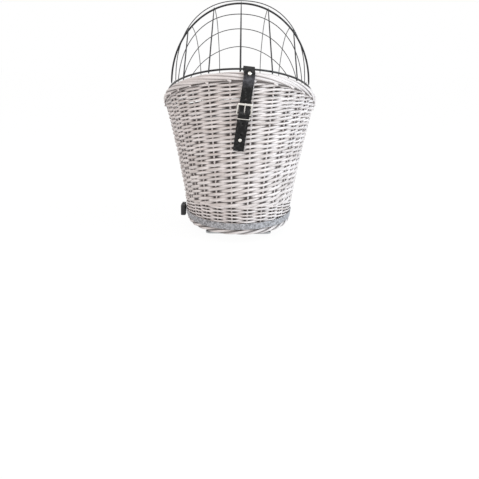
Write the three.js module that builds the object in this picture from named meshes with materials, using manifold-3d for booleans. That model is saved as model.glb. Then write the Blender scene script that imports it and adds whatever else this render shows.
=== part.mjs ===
// Wicker pet basket for a bicycle's rear rack, with a welded wire dome lid and a leather closing strap.
// Millimetres, +Z up, +Y to the front of the bicycle, the origin under the middle of the basket.
import * as THREE from 'three';
import { mergeVertices } from 'three/addons/utils/BufferGeometryUtils.js';
import Module from 'manifold-3d';

const wasm = await Module();
wasm.setup();

// Sizes over the borders
const RIM_WIDTH = 350;
const RIM_LENGTH = 550;
const FOOT_WIDTH = 242;
const FOOT_LENGTH = 388;
const RIM_TILT = THREE.MathUtils.degToRad(14);
const RIM_CENTRE_Z = 289;
const BORDER_RADIUS = 9;
const FOOT_RADIUS = 5.5;
const WALL_THICKNESS = 10;
const WALL_FLARE = 0.28;
const AROUND = 56;
const CUSHION_AROUND = 28;
const GAP = 0.3;

// Weave of the wall: how far out the rods lie in front of a stake, behind it and halfway to the next
const STAKES = 30;
const STAKE_PHASE = 0.55;
const WOVEN_ROUNDS = 25;
const WEAVE_START_REAR = 86;
const WEAVE_START_FRONT = 66;
const RIM_WALE_HEIGHT = 13;
const BUTT_TAPER = 0.2;
const ROD_IN_FRONT = 5;
const ROD_BEHIND = 0.8;
const ROD_HALFWAY = 2.4;
const FOOT_FACE = 2.8;
const PLAIN_FACE = 4.5;
const INNER_FACE = -4.8;

// Rack clamp: two bars under the rails, bolted through the floor
const RAIL_HEIGHT = 16.5;
const BAR_THICKNESS = 4;
const BAR_LENGTH = 150;
const BAR_WIDTH = 25;
const PLATE_THICKNESS = 3;
const BOLT_RADIUS = 3;
const BOLT_X = 50;
const CLAMP_Y = 85;
const FLOOR_THICKNESS = 10;

// Grey belt round the foot of the wall
const BELT_HEIGHT = 14;
const BELT_THICKNESS = 2;

// Wire lid
const RING_RADIUS = 2;
const WIRE_RADIUS = 1.1;
const PANEL_WIRE_RADIUS = 1.4;
const RING_GAP = 4.3;
const RING_INSET = 1.5;
const HINGE_HALF_WIDTH = 36;
const RAIL_INSET = 24;
const RAIL_HALF_LENGTH = 147;
const ARCH_INSET = 16.5;
const REAR_HOOP_TOP = 178.5;
const MIDDLE_REAR_HOOP_TOP = 188;
const MIDDLE_FRONT_HOOP_TOP = 191;
const FRONT_HOOP_TOP = 180;
const REAR_ARCH_TOP = 170;
const LENGTHWISE_X = [-100.5, -53.4, 0, 53.4, 100.5];
const PANEL_FOOT_X = [-112, -60, 0, 60, 112];
const PANEL_TOP_X = [-107, -54.5, 0, 54.5, 107];
const PANEL_TIP = 1.2;

// Leather and buckle
const LEATHER = 2;
const LAYER_PITCH = 2.5;
const STRAP_WIDTH = 22;
const STRAP_X = 16;
const STRAP_SLANT = THREE.MathUtils.degToRad(5.5);
const STRAP_YAW = THREE.MathUtils.degToRad(7);
const BUCKLE_RADIUS = 1.6;
const FRAME_MARGIN = 2.8;
const PRONG_RADIUS = 1.1;
const KEEPER_RADIUS = 0.8;
const TIP_DROP = 68;
const HEEL_DROP = 88;
const KEEPER_DROP = 97;
const LOWER_RIVET_DROP = 140.5;
const HINGE_STRAP_WIDTH = 14;
const HINGE_STRAP_X = 22;
const HINGE_RIVET_DROP = 56;
const STRAP_END_DROP = 163;

const FOOT_Z = RAIL_HEIGHT + BAR_THICKNESS;
const FOOT_FACET = FOOT_RADIUS * Math.cos(Math.PI / 8);
const WALL_Z = FOOT_Z + 2 * FOOT_FACET + GAP;
const FLOOR_Z = WALL_Z + 1.5;
const BELT_Z = WALL_Z + 1.5;
const FOOT_A = FOOT_WIDTH / 2 - FOOT_RADIUS;
const FOOT_B = FOOT_LENGTH / 2 - FOOT_RADIUS;
const RIM_A = RIM_WIDTH / 2 - BORDER_RADIUS;
const RIM_B = RIM_LENGTH / 2 - BORDER_RADIUS;
const RIM_B_INPLANE = RIM_B / Math.cos(RIM_TILT);
const RING_A = RIM_A - RING_INSET;
const RING_B = RIM_B_INPLANE - RING_INSET;
const RING_Z = BORDER_RADIUS + RING_GAP + RING_RADIUS;
const RAIL_X = RING_A - RAIL_INSET;
const HINGE_Y = RING_B * Math.sqrt(1 - (HINGE_HALF_WIDTH / RING_A) ** 2);

function finish(color, roughness, metalness) {
  return new THREE.MeshStandardMaterial({ color, roughness, metalness });
}
const willow = finish(0xd8d2cc, 0.75, 0);
const blackWire = finish(0x141416, 0.45, 0.4);
const leather = finish(0x29282a, 0.5, 0);
const nickel = finish(0xc4c3bf, 0.3, 1);
const webbing = finish(0xa8aab2, 0.85, 0);
const blackPlastic = finish(0x1a1a1c, 0.5, 0);
const zinc = finish(0xa2a6aa, 0.4, 1);
const plush = finish(0xb9b4ae, 0.95, 0);

const basket = new THREE.Group();
const rim = new THREE.Group();
rim.position.z = RIM_CENTRE_Z;
rim.rotation.x = -RIM_TILT;
basket.add(rim);

function addMesh(parent, name, geometry, material) {
  const mesh = new THREE.Mesh(geometry, material);
  mesh.name = name;
  parent.add(mesh);
  return mesh;
}

// Closed skin over a row of equal rings of points; a loop joins the last ring to the first
function loft(rings, loop) {
  const size = rings[0].length;
  const positions = rings.flat().flatMap((p) => [p.x, p.y, p.z]);
  const index = [];
  const last = loop ? rings.length : rings.length - 1;
  for (let i = 0; i < last; i += 1) {
    const here = i * size;
    const next = ((i + 1) % rings.length) * size;
    for (let k = 0; k < size; k += 1) {
      const l = (k + 1) % size;
      index.push(here + k, next + k, next + l, here + k, next + l, here + l);
    }
  }
  if (!loop) {
    for (const [first, flip] of [[0, false], [(rings.length - 1) * size, true]]) {
      const middle = new THREE.Vector3();
      for (let k = 0; k < size; k += 1) {
        middle.add(rings[first / size][k]);
      }
      middle.divideScalar(size);
      const apex = positions.length / 3;
      positions.push(middle.x, middle.y, middle.z);
      for (let k = 0; k < size; k += 1) {
        const l = (k + 1) % size;
        index.push(...(flip ? [first + l, first + k, apex] : [first + k, first + l, apex]));
      }
    }
  }
  return outward(positions, index);
}

// Closed skin over columns of [step, point] pairs, joined in the order of their steps
function zip(columns, lastStep) {
  const positions = columns.flat().flatMap(([, p]) => [p.x, p.y, p.z]);
  const index = [];
  let here = 0;
  columns.forEach((column, c) => {
    const other = columns[(c + 1) % columns.length];
    const next = c + 1 < columns.length ? here + column.length : 0;
    const stepOf = (list, k) => (k < list.length ? list[k][0] : lastStep);
    let i = 0;
    let j = 0;
    while (i < column.length || j < other.length) {
      const first = here + (i % column.length);
      const second = next + (j % other.length);
      const useFirst = j === other.length
        || (i < column.length && stepOf(column, i + 1) <= stepOf(other, j + 1));
      if (useFirst) {
        i += 1;
        index.push(first, second, here + (i % column.length));
      } else {
        j += 1;
        index.push(first, second, next + (j % other.length));
      }
    }
    here += column.length;
  });
  return outward(positions, index);
}

// Geometry with its faces turned outward, whichever way the rings ran
function outward(positions, index) {
  let volume = 0;
  const at = (i) => new THREE.Vector3(positions[3 * i], positions[3 * i + 1], positions[3 * i + 2]);
  for (let i = 0; i < index.length; i += 3) {
    volume += at(index[i]).dot(at(index[i + 1]).cross(at(index[i + 2])));
  }
  const turned = volume < 0 ? index.slice().reverse() : index;
  const geometry = new THREE.BufferGeometry();
  geometry.setAttribute('position', new THREE.Float32BufferAttribute(positions, 3));
  geometry.setIndex(turned);
  return geometry;
}

function polygon(radius, sides, flatDown = true) {
  const start = flatDown ? -Math.PI / 2 + Math.PI / sides : 0;
  return Array.from({ length: sides }, (_, k) => {
    const angle = start + (2 * Math.PI * k) / sides;
    return [radius * Math.cos(angle), radius * Math.sin(angle)];
  });
}

// Section carried along points that bend in the plane square to the binormal
function sweep(points, binormal, section, loop = false) {
  const count = points.length;
  const rings = points.map((p, i) => {
    const before = points[loop ? (i + count - 1) % count : Math.max(i - 1, 0)];
    const after = points[loop ? (i + 1) % count : Math.min(i + 1, count - 1)];
    const tangent = after.clone().sub(before).normalize();
    const side = binormal.clone().cross(tangent).normalize();
    const up = tangent.clone().cross(side).normalize();
    return section.map(([n, b]) => p.clone().addScaledVector(side, n).addScaledVector(up, b));
  });
  return loft(rings, loop);
}

function toSolid(geometry, matrix) {
  const plain = geometry.clone();
  plain.deleteAttribute('normal');
  plain.deleteAttribute('uv');
  if (matrix) {
    plain.applyMatrix4(matrix);
  }
  const merged = mergeVertices(plain, 1e-4);
  const mesh = new wasm.Mesh({
    numProp: 3,
    vertProperties: new Float32Array(merged.attributes.position.array),
    triVerts: new Uint32Array(merged.index.array),
  });
  return new wasm.Manifold(mesh);
}

function toGeometry(solid) {
  const mesh = solid.getMesh();
  const geometry = new THREE.BufferGeometry();
  geometry.setAttribute('position', new THREE.Float32BufferAttribute(mesh.vertProperties, 3));
  geometry.setIndex(new THREE.Uint32BufferAttribute(mesh.triVerts, 1));
  return geometry;
}

function cut(geometry, tools) {
  let solid = toSolid(geometry);
  for (const tool of tools) {
    solid = solid.subtract(toSolid(tool));
  }
  return toGeometry(solid);
}

function join(geometries) {
  let solid = toSolid(geometries[0]);
  for (const geometry of geometries.slice(1)) {
    solid = solid.add(toSolid(geometry));
  }
  return toGeometry(solid);
}

function lathe(profile, segments = 16) {
  const geometry = new THREE.LatheGeometry(profile.map(([r, y]) => new THREE.Vector2(r, y)), segments);
  return geometry.rotateX(Math.PI / 2);
}

// Plan of the basket at turn t, from the rear centre round by the right side
function plan(a, b, t, out) {
  const x = a * Math.sin(t);
  const y = -b * Math.cos(t);
  const normal = new THREE.Vector2(Math.sin(t) / a, -Math.cos(t) / b).normalize();
  return new THREE.Vector2(x + normal.x * out, y + normal.y * out);
}

function wallTop(t) {
  const rimY = -RIM_B * Math.cos(t);
  return RIM_CENTRE_Z - Math.tan(RIM_TILT) * rimY - (BORDER_RADIUS + GAP) / Math.cos(RIM_TILT);
}

function wallAt(t, level, out) {
  const spread = level - WALL_FLARE * level * (1 - level);
  const a = THREE.MathUtils.lerp(FOOT_A, RIM_A, spread);
  const b = THREE.MathUtils.lerp(FOOT_B, RIM_B, spread);
  const flat = plan(a, b, t, out);
  return new THREE.Vector3(flat.x, flat.y, THREE.MathUtils.lerp(WALL_Z, wallTop(t), level));
}

function wallAtHeight(t, z, out) {
  return wallAt(t, (z - WALL_Z) / (wallTop(t) - WALL_Z), out);
}

function turns(count = AROUND) {
  return Array.from({ length: count }, (_, i) => (2 * Math.PI * i) / count);
}

// Turns of the stakes and of the places halfway between them, at equal lengths round the wall
function weaveTurns() {
  const fine = turns(720).concat(2 * Math.PI);
  const points = fine.map((t) => plan((FOOT_A + RIM_A) / 2, (FOOT_B + RIM_B) / 2, t, 0));
  const lengths = [0];
  for (let i = 1; i < fine.length; i += 1) {
    lengths.push(lengths[i - 1] + points[i].distanceTo(points[i - 1]));
  }
  return Array.from({ length: 2 * STAKES }, (_, k) => {
    const wanted = (((k / 2 + STAKE_PHASE) / STAKES) % 1) * lengths.at(-1);
    const after = lengths.findIndex((length) => length > wanted);
    const share = (wanted - lengths[after - 1]) / (lengths[after] - lengths[after - 1]);
    return THREE.MathUtils.lerp(fine[after - 1], fine[after], share);
  });
}

// Outward reach of the wall's outer face from a point, along a level direction
function wallReach(origin, direction) {
  const outside = (n) => {
    const x = origin.x + direction.x * n;
    const y = origin.y + direction.y * n;
    const t = Math.atan2(x / RIM_A, -y / RIM_B);
    const face = wallAtHeight(t, origin.z, WALL_THICKNESS / 2);
    return Math.hypot(x, y) > Math.hypot(face.x, face.y);
  };
  let low = -120;
  let high = 60;
  for (let i = 0; i < 40; i += 1) {
    const middle = (low + high) / 2;
    if (outside(middle)) {
      high = middle;
    } else {
      low = middle;
    }
  }
  return high;
}

// Borders, wall, floor and belt
const rimPlan = turns().map((t) => [plan(RIM_A, RIM_B_INPLANE, t, 0), plan(RIM_A, RIM_B_INPLANE, t, 1)]);
const footPlan = turns().map((t) => [plan(FOOT_A, FOOT_B, t, 0), plan(FOOT_A, FOOT_B, t, 1)]);

function borderGeometry(path, section, height) {
  return loft(path.map(([middle, ahead]) => {
    const normal = ahead.clone().sub(middle);
    return section.map(([n, up]) => new THREE.Vector3(middle.x + normal.x * n, middle.y + normal.y * n, height + up));
  }), true);
}
addMesh(rim, 'top_border', borderGeometry(rimPlan, polygon(BORDER_RADIUS, 8), 0), willow);
addMesh(basket, 'foot_border', borderGeometry(footPlan, polygon(FOOT_RADIUS, 8), FOOT_Z + FOOT_FACET), willow);

// Woven wall: at each stake the rods lie in front of it and behind it by turns, thick butts first
const INNER_LEVELS = [1, 0.67, 0.33, 0];
const weaveLow = BELT_Z + BELT_HEIGHT + 1;
function weaveHeight(t, done) {
  const share = done / WOVEN_ROUNDS;
  const start = THREE.MathUtils.lerp(WEAVE_START_FRONT, WEAVE_START_REAR, 0.5 + 0.5 * Math.cos(t));
  return THREE.MathUtils.lerp(start, wallTop(t) - RIM_WALE_HEIGHT, share * (1 + BUTT_TAPER * (1 - share)));
}
const wallColumns = weaveTurns().map((t, column) => {
  const atStake = column % 2 === 0;
  const crossings = atStake ? 2 * WOVEN_ROUNDS + 1 : WOVEN_ROUNDS;
  const rods = Array.from({ length: crossings }, (_, k) => {
    const done = atStake ? k / 2 : k + 0.25;
    const crossing = k % 2 === 0 ? ROD_IN_FRONT : ROD_BEHIND;
    return [done, wallAtHeight(t, weaveHeight(t, done), atStake ? crossing : ROD_HALFWAY)];
  });
  return [
    [-3, wallAt(t, 0, PLAIN_FACE)],
    [-2, wallAtHeight(t, weaveLow, PLAIN_FACE)],
    [-1, wallAtHeight(t, weaveLow + 1, FOOT_FACE)],
    ...rods,
    [WOVEN_ROUNDS + 1, wallAt(t, 1, PLAIN_FACE)],
    ...INNER_LEVELS.map((level, k) => [WOVEN_ROUNDS + 2 + k, wallAt(t, level, INNER_FACE)]),
  ];
});
const wallGeometry = zip(wallColumns, WOVEN_ROUNDS + 2 + INNER_LEVELS.length);

function boltHoles(radius) {
  return [-BOLT_X, BOLT_X].flatMap((x) => [-CLAMP_Y, CLAMP_Y].map((y) => {
    const hole = new THREE.Path();
    hole.absarc(x, y, radius, 0, 2 * Math.PI, true);
    return hole;
  }));
}
const floorEdge = turns().map((t) => wallAtHeight(t, FLOOR_Z, -WALL_THICKNESS / 2 - 0.4));
const floorShape = new THREE.Shape(floorEdge.map((p) => new THREE.Vector2(p.x, p.y)));
floorShape.holes.push(...boltHoles(BOLT_RADIUS + 0.4));
const floorGeometry = new THREE.ExtrudeGeometry(floorShape, {
  depth: FLOOR_THICKNESS, bevelEnabled: false, curveSegments: 6,
});
addMesh(basket, 'woven_floor', floorGeometry, willow).position.z = FLOOR_Z;

const beltRings = turns().map((t) => [
  wallAtHeight(t, BELT_Z, WALL_THICKNESS / 2 + 0.4),
  wallAtHeight(t, BELT_Z, WALL_THICKNESS / 2 + 0.4 + BELT_THICKNESS),
  wallAtHeight(t, BELT_Z + BELT_HEIGHT, WALL_THICKNESS / 2 + 0.4 + BELT_THICKNESS),
  wallAtHeight(t, BELT_Z + BELT_HEIGHT, WALL_THICKNESS / 2 + 0.4),
]);
addMesh(basket, 'foot_belt', loft(beltRings, true), webbing);

// Side-release buckle on the belt's left side, its length along Y
const buckleSeat = new THREE.Group();
const beltFace = wallAtHeight(-Math.PI / 2, BELT_Z + BELT_HEIGHT / 2, WALL_THICKNESS / 2 + BELT_THICKNESS + 0.4);
buckleSeat.position.set(beltFace.x - 1.6, 0, beltFace.z);
basket.add(buckleSeat);

function block(sizeX, sizeY, sizeZ, x, y, z) {
  return new THREE.BoxGeometry(sizeX, sizeY, sizeZ).translate(x, y, z);
}
const housingOutline = new THREE.Shape();
housingOutline.moveTo(-31, -11.5);
housingOutline.quadraticCurveTo(-18, -15, -1, -12.5);
housingOutline.lineTo(-1, 12.5);
housingOutline.quadraticCurveTo(-18, 15, -31, 11.5);
housingOutline.closePath();
const housing = new THREE.ExtrudeGeometry(housingOutline, {
  depth: 7, bevelThickness: 2, bevelSize: 1.5, bevelOffset: -1.5, bevelSegments: 2, curveSegments: 8,
});
// The outline is drawn in length and height, and its depth runs outward
housing.applyMatrix4(new THREE.Matrix4().makeBasis(
  new THREE.Vector3(0, 1, 0), new THREE.Vector3(0, 0, 1), new THREE.Vector3(1, 0, 0),
)).translate(-9, 0, 0);
const housingCut = cut(housing, [
  block(5, 24, 20, -5.5, -9, 0),
  block(5, 9, 60, -5.5, -13.5, 0),
]);
addMesh(buckleSeat, 'belt_buckle_housing', housingCut, blackPlastic);
const tongue = join([
  block(9, 14, 24, -5.5, 7.4, 0),
  block(4, 20, 4, -5.5, -8, 0),
  block(4, 18, 3.5, -5.5, -7, 7.6),
  block(4, 18, 3.5, -5.5, -7, -7.6),
]);
addMesh(buckleSeat, 'belt_buckle_tongue', tongue, blackPlastic);

// Cushion on the floor, crowned, clear of the clamp nuts
const CUSHION_Z = FLOOR_Z + FLOOR_THICKNESS + 15;
const cushionProfile = [[-24, 0], [-9, 1.5], [-2, 8], [-0.7, 18], [-0.7, 26], [-3, 36], [-12, 43], [-34, 47], [-70, 49]];
const cushionRings = cushionProfile.map(([inset, up]) => turns(CUSHION_AROUND).map((t) => {
  const edge = wallAtHeight(t, CUSHION_Z + Math.min(up, 26), -WALL_THICKNESS / 2);
  const reach = 1 + inset / Math.hypot(edge.x, edge.y);
  return new THREE.Vector3(edge.x * reach, edge.y * reach, CUSHION_Z + up);
}));
addMesh(basket, 'cushion', loft(cushionRings, false), plush);

// Rack clamp hardware
function slotShape(length, width) {
  const shape = new THREE.Shape();
  const half = length / 2 - width / 2;
  shape.absarc(half, 0, width / 2, -Math.PI / 2, Math.PI / 2, false);
  shape.absarc(-half, 0, width / 2, Math.PI / 2, 1.5 * Math.PI, false);
  return shape;
}
function barGeometry(thickness, holeRadius) {
  const shape = slotShape(BAR_LENGTH, BAR_WIDTH);
  for (const x of [-BOLT_X, BOLT_X]) {
    const hole = new THREE.Path();
    hole.absarc(x, 0, holeRadius, 0, 2 * Math.PI, true);
    shape.holes.push(hole);
  }
  return new THREE.ExtrudeGeometry(shape, { depth: thickness, bevelEnabled: false, curveSegments: 6 });
}
function countersink(x) {
  return new THREE.CylinderGeometry(3.2, 7, 3.8, 10).rotateX(Math.PI / 2).translate(x, 0, 1.8);
}
const PLATE_Z = FLOOR_Z + FLOOR_THICKNESS + GAP;
const WASHER_Z = PLATE_Z + PLATE_THICKNESS + GAP;
const NUT_Z = WASHER_Z + 1.6 + GAP;
const BOLT_TOP = NUT_Z + 7;
for (const [end, y] of [['rear', -CLAMP_Y], ['front', CLAMP_Y]]) {
  const lowerBar = cut(barGeometry(BAR_THICKNESS, BOLT_RADIUS + 0.4), [countersink(-BOLT_X), countersink(BOLT_X)]);
  addMesh(basket, `clamp_bar_${end}`, lowerBar, zinc).position.set(0, y, 0);
  addMesh(basket, `floor_plate_${end}`, barGeometry(PLATE_THICKNESS, BOLT_RADIUS + 0.4), zinc).position.set(0, y, PLATE_Z);
  for (const [side, x] of [['left', -BOLT_X], ['right', BOLT_X]]) {
    const bolt = lathe([[0, 0.4], [6, 0.4], [BOLT_RADIUS, 3.6], [BOLT_RADIUS, BOLT_TOP], [0, BOLT_TOP]], 12);
    addMesh(basket, `clamp_bolt_${end}_${side}`, bolt, zinc).position.set(x, y, 0);
    const washer = lathe([[3.4, 0], [6.4, 0], [6.4, 1.6], [3.4, 1.6], [3.4, 0]], 12);
    addMesh(basket, `clamp_washer_${end}_${side}`, washer, zinc).position.set(x, y, WASHER_Z);
    const hexagon = new THREE.Shape(Array.from({ length: 6 }, (_, k) => {
      const angle = (k * Math.PI) / 3;
      return new THREE.Vector2(5.77 * Math.cos(angle), 5.77 * Math.sin(angle));
    }));
    const thread = new THREE.Path();
    thread.absarc(0, 0, BOLT_RADIUS + 0.3, 0, 2 * Math.PI, true);
    hexagon.holes.push(thread);
    const nut = new THREE.ExtrudeGeometry(hexagon, { depth: 5, bevelEnabled: false, curveSegments: 6 });
    addMesh(basket, `clamp_nut_${end}_${side}`, nut, zinc).position.set(x, y, NUT_Z);
  }
}

// Lid ring, straight across the front where it turns in its loops
const ringTurns = new Set(turns());
const hingeTurn = Math.PI - Math.asin(HINGE_HALF_WIDTH / RING_A);
ringTurns.add(hingeTurn);
ringTurns.add(2 * Math.PI - hingeTurn);
const ringPath = [...ringTurns].sort((p, q) => p - q).map((t) => {
  const y = Math.min(-RING_B * Math.cos(t), HINGE_Y);
  return new THREE.Vector3(RING_A * Math.sin(t), y, RING_Z);
});
const AXIS_Z = new THREE.Vector3(0, 0, 1);
const AXIS_X = new THREE.Vector3(1, 0, 0);
addMesh(rim, 'lid_ring', sweep(ringPath, AXIS_Z, polygon(RING_RADIUS, 6), true), blackWire);

function ringY(x) {
  return RING_B * Math.sqrt(1 - (x / RING_A) ** 2);
}

// Hoops: superellipses in planes that lean out towards the ends
const HOOP_FOOT_Z = RING_Z + RING_RADIUS + 2 * WIRE_RADIUS + 2 * GAP + 0.8;
const hoops = {
  rear: { power: 2.3, footY: -105, topY: -182, topZ: REAR_HOOP_TOP },
  middle_rear: { power: 2.2, footY: -48, topY: -64, topZ: MIDDLE_REAR_HOOP_TOP },
  middle_front: { power: 2.1, footY: 48, topY: 58, topZ: MIDDLE_FRONT_HOOP_TOP },
  front: { power: 1.88, footY: 105, topY: 176, topZ: FRONT_HOOP_TOP },
};
for (const hoop of Object.values(hoops)) {
  hoop.halfWidth = RAIL_X;
  hoop.footZ = HOOP_FOOT_Z;
}
const ARCH_FOOT_X = RING_A - ARCH_INSET;
const rearArch = {
  halfWidth: ARCH_FOOT_X, power: 2, footY: -ringY(ARCH_FOOT_X), topY: -190,
  footZ: RING_Z + RING_RADIUS + GAP + 1.2, topZ: REAR_ARCH_TOP,
};

function hoopPoint(hoop, angle, inset = 0) {
  const power = 2 / hoop.power;
  const rise = hoop.topZ - hoop.footZ;
  const slant = Math.hypot(rise, hoop.topY - hoop.footY);
  const at = (phi) => new THREE.Vector2(
    hoop.halfWidth * Math.sign(Math.cos(phi)) * Math.abs(Math.cos(phi)) ** power,
    slant * Math.abs(Math.sin(phi)) ** power,
  );
  const here = at(angle);
  const step = 1e-3;
  const along = at(Math.min(angle + step, Math.PI)).sub(at(Math.max(angle - step, 0))).normalize();
  const flat = new THREE.Vector2(here.x - along.y * inset, here.y + along.x * inset);
  const share = flat.y / slant;
  return new THREE.Vector3(
    flat.x,
    THREE.MathUtils.lerp(hoop.footY, hoop.topY, share),
    THREE.MathUtils.lerp(hoop.footZ, hoop.topZ, share),
  );
}

function hoopPlane(hoop) {
  return new THREE.Vector3(0, hoop.topZ - hoop.footZ, hoop.footY - hoop.topY).normalize();
}

function hoopGeometry(hoop, radius, sides, steps) {
  const points = Array.from({ length: steps + 1 }, (_, i) => hoopPoint(hoop, (Math.PI * i) / steps));
  return sweep(points, hoopPlane(hoop), polygon(radius, sides));
}
for (const [name, hoop] of Object.entries(hoops)) {
  addMesh(rim, `lid_hoop_${name}`, hoopGeometry(hoop, WIRE_RADIUS, 6, 20), blackWire);
}
addMesh(rim, 'lid_rear_arch', hoopGeometry(rearArch, RING_RADIUS, 6, 24), blackWire);

// Straight side rails that carry the hoops, laid over the ring
const railZ = RING_Z + RING_RADIUS + WIRE_RADIUS + GAP;
for (const [side, x] of [['left', -RAIL_X], ['right', RAIL_X]]) {
  const ends = [-RAIL_HALF_LENGTH, RAIL_HALF_LENGTH].map((y) => new THREE.Vector3(x, y, railZ));
  addMesh(rim, `lid_side_rail_${side}`, sweep(ends, AXIS_X, polygon(WIRE_RADIUS, 8)), blackWire);
}

// Turn on the hoop where its inner side stands at a given x
function hoopAngleAt(hoop, x, inset) {
  let low = 0;
  let high = Math.PI;
  for (let i = 0; i < 50; i += 1) {
    const middle = (low + high) / 2;
    if (hoopPoint(hoop, middle, inset).x > x) {
      low = middle;
    } else {
      high = middle;
    }
  }
  return (low + high) / 2;
}

// Lengthwise wires from under the rear arch, under the hoops and down the front end to the ring
const wireNames = ['far_left', 'left', 'centre', 'right', 'far_right'];
LENGTHWISE_X.forEach((x, i) => {
  const carriers = [rearArch, hoops.middle_rear, hoops.middle_front, hoops.front];
  const knots = carriers.map((hoop) => {
    const inset = (hoop === rearArch ? RING_RADIUS : WIRE_RADIUS) + WIRE_RADIUS + GAP + 0.3;
    return hoopPoint(hoop, hoopAngleAt(hoop, x, inset), inset).setX(x);
  });
  const tail = knots[0].clone().add(new THREE.Vector3(0, -4, -0.6));
  const spine = new THREE.CatmullRomCurve3([tail, ...knots]).getPoints(12);
  const start = knots[3];
  const ringFront = Math.abs(x) < HINGE_HALF_WIDTH ? HINGE_Y : ringY(x);
  const endZ = RING_Z + RING_RADIUS + GAP;
  const cap = Array.from({ length: 6 }, (_, k) => {
    const phi = ((k + 1) / 6) * (Math.PI / 2);
    return new THREE.Vector3(
      x,
      THREE.MathUtils.lerp(start.y, ringFront - 0.6, Math.sin(phi)),
      THREE.MathUtils.lerp(endZ, start.z, Math.cos(phi)),
    );
  });
  addMesh(rim, `lid_lengthwise_${wireNames[i]}`, sweep([...spine, ...cap], AXIS_X, polygon(WIRE_RADIUS, 6)), blackWire);
});

// Rear panel wires, outside the ring and the rear arch, with stubs that stand on the border
PANEL_FOOT_X.forEach((footX, i) => {
  const contact = RING_RADIUS + PANEL_WIRE_RADIUS + GAP;
  const ringNormal = new THREE.Vector2(footX / RING_A ** 2, -ringY(footX) / RING_B ** 2).normalize();
  const stand = contact + 1;
  const atRing = new THREE.Vector3(footX + ringNormal.x * stand, -ringY(footX) + ringNormal.y * stand, RING_Z);
  const archTurn = hoopAngleAt(rearArch, PANEL_TOP_X[i], 0);
  const onArch = hoopPoint(rearArch, archTurn);
  const alongArch = hoopPoint(rearArch, archTurn + 0.01).sub(onArch);
  const apart = alongArch.cross(onArch.clone().sub(atRing)).normalize();
  onArch.addScaledVector(apart, -Math.sign(apart.y) * (contact + 0.1));
  const upward = onArch.clone().sub(atRing).normalize();
  const path = [
    new THREE.Vector3(atRing.x, atRing.y, BORDER_RADIUS - 0.1),
    atRing,
    atRing.clone().addScaledVector(upward, 4),
    onArch.clone().addScaledVector(upward, PANEL_TIP),
  ];
  addMesh(rim, `lid_panel_wire_${wireNames[i]}`, sweep(path, AXIS_X, polygon(PANEL_WIRE_RADIUS, 8)), blackWire);
});

// A seat for leather on the outside of the wall, with its origin at the ring wire
function leatherSeat(x, front, yaw, slant) {
  const sign = front ? 1 : -1;
  const inPlane = new THREE.Vector3(x, front ? HINGE_Y : -ringY(x), RING_Z);
  const seat = new THREE.Group();
  seat.position.copy(inPlane.applyAxisAngle(AXIS_X, -RIM_TILT)).add(rim.position);
  seat.rotation.set(0, slant, front ? Math.PI + yaw : yaw, 'ZYX');
  seat.updateMatrixWorld(true);
  const borderFlat = new THREE.Vector2(x, sign * RIM_B * Math.sqrt(1 - (x / RIM_A) ** 2));
  const borderZ = RIM_CENTRE_Z - Math.tan(RIM_TILT) * borderFlat.y;
  const toBorder = sign * (borderFlat.y - seat.position.y);
  return { seat, borderN: toBorder, borderD: seat.position.z - borderZ };
}

// Wall face under a strap: the furthest out that the wall reaches over the strap's width
function seatReach(holder, drop, halfWidth) {
  const reaches = [-halfWidth, 0, halfWidth].map((x) => {
    const origin = holder.seat.localToWorld(new THREE.Vector3(x, 0, -drop));
    const ahead = holder.seat.localToWorld(new THREE.Vector3(x, -1, -drop));
    const direction = new THREE.Vector2(ahead.x - origin.x, ahead.y - origin.y);
    return wallReach(origin, direction);
  });
  return Math.max(...reaches);
}

function arcPoints(centreN, centreD, radius, from, to, steps) {
  return Array.from({ length: steps + 1 }, (_, i) => {
    const angle = THREE.MathUtils.lerp(from, to, i / steps);
    return new THREE.Vector2(centreN + radius * Math.cos(angle), centreD - radius * Math.sin(angle));
  });
}

// Turn on a circle where a taut strap leaves it for a point below
function leaveAngle(centreN, centreD, radius, point) {
  const toN = point.x - centreN;
  const toD = point.y - centreD;
  return -Math.atan2(toD, toN) + Math.acos(radius / Math.hypot(toN, toD));
}

// Leather strip along a path of outward and downward distances, with its width along local X
function strip(path, width, narrowTip = false) {
  const points = path.map((p) => new THREE.Vector3(0, -p.x, -p.y));
  const count = points.length;
  const rings = points.map((p, i) => {
    const along = points[Math.min(i + 1, count - 1)].clone().sub(points[Math.max(i - 1, 0)]).normalize();
    const side = along.clone().cross(AXIS_X).normalize();
    const fromTip = count - 1 - i;
    const narrow = narrowTip && fromTip < 3 ? [0.45, 0.8, 0.96][fromTip] : 1;
    return [[-1, -1], [1, -1], [1, 1], [-1, 1]].map(([u, v]) => p.clone()
      .addScaledVector(AXIS_X, (u * narrow * width) / 2)
      .addScaledVector(side, (v * LEATHER) / 2));
  });
  return loft(rings, false);
}

// Folded top of a strap: a short inner layer, the turn round the wire and the outer layer over the border
function foldOverBorder(holder, wrap, cover, innerEnd, lower) {
  const { borderN, borderD } = holder;
  const centres = Math.hypot(borderN, borderD);
  const toBorder = -Math.atan2(borderD, borderN);
  const outerCover = cover + LAYER_PITCH;
  const outerTangent = toBorder + Math.acos((wrap - outerCover) / centres);
  const leave = leaveAngle(borderN, borderD, outerCover, lower[0]);
  return [
    ...arcPoints(borderN, borderD, cover, innerEnd, toBorder + Math.PI, 6),
    ...arcPoints(0, 0, wrap, toBorder, outerTangent - 2 * Math.PI, 10),
    ...arcPoints(borderN, borderD, outerCover, outerTangent, leave, 4),
    ...lower,
  ];
}

function smooth(points, steps) {
  const curve = new THREE.CatmullRomCurve3(points.map((p) => new THREE.Vector3(p.x, p.y, 0)), false, 'centripetal');
  return curve.getPoints(steps).map((p) => new THREE.Vector2(p.x, p.y));
}

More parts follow.
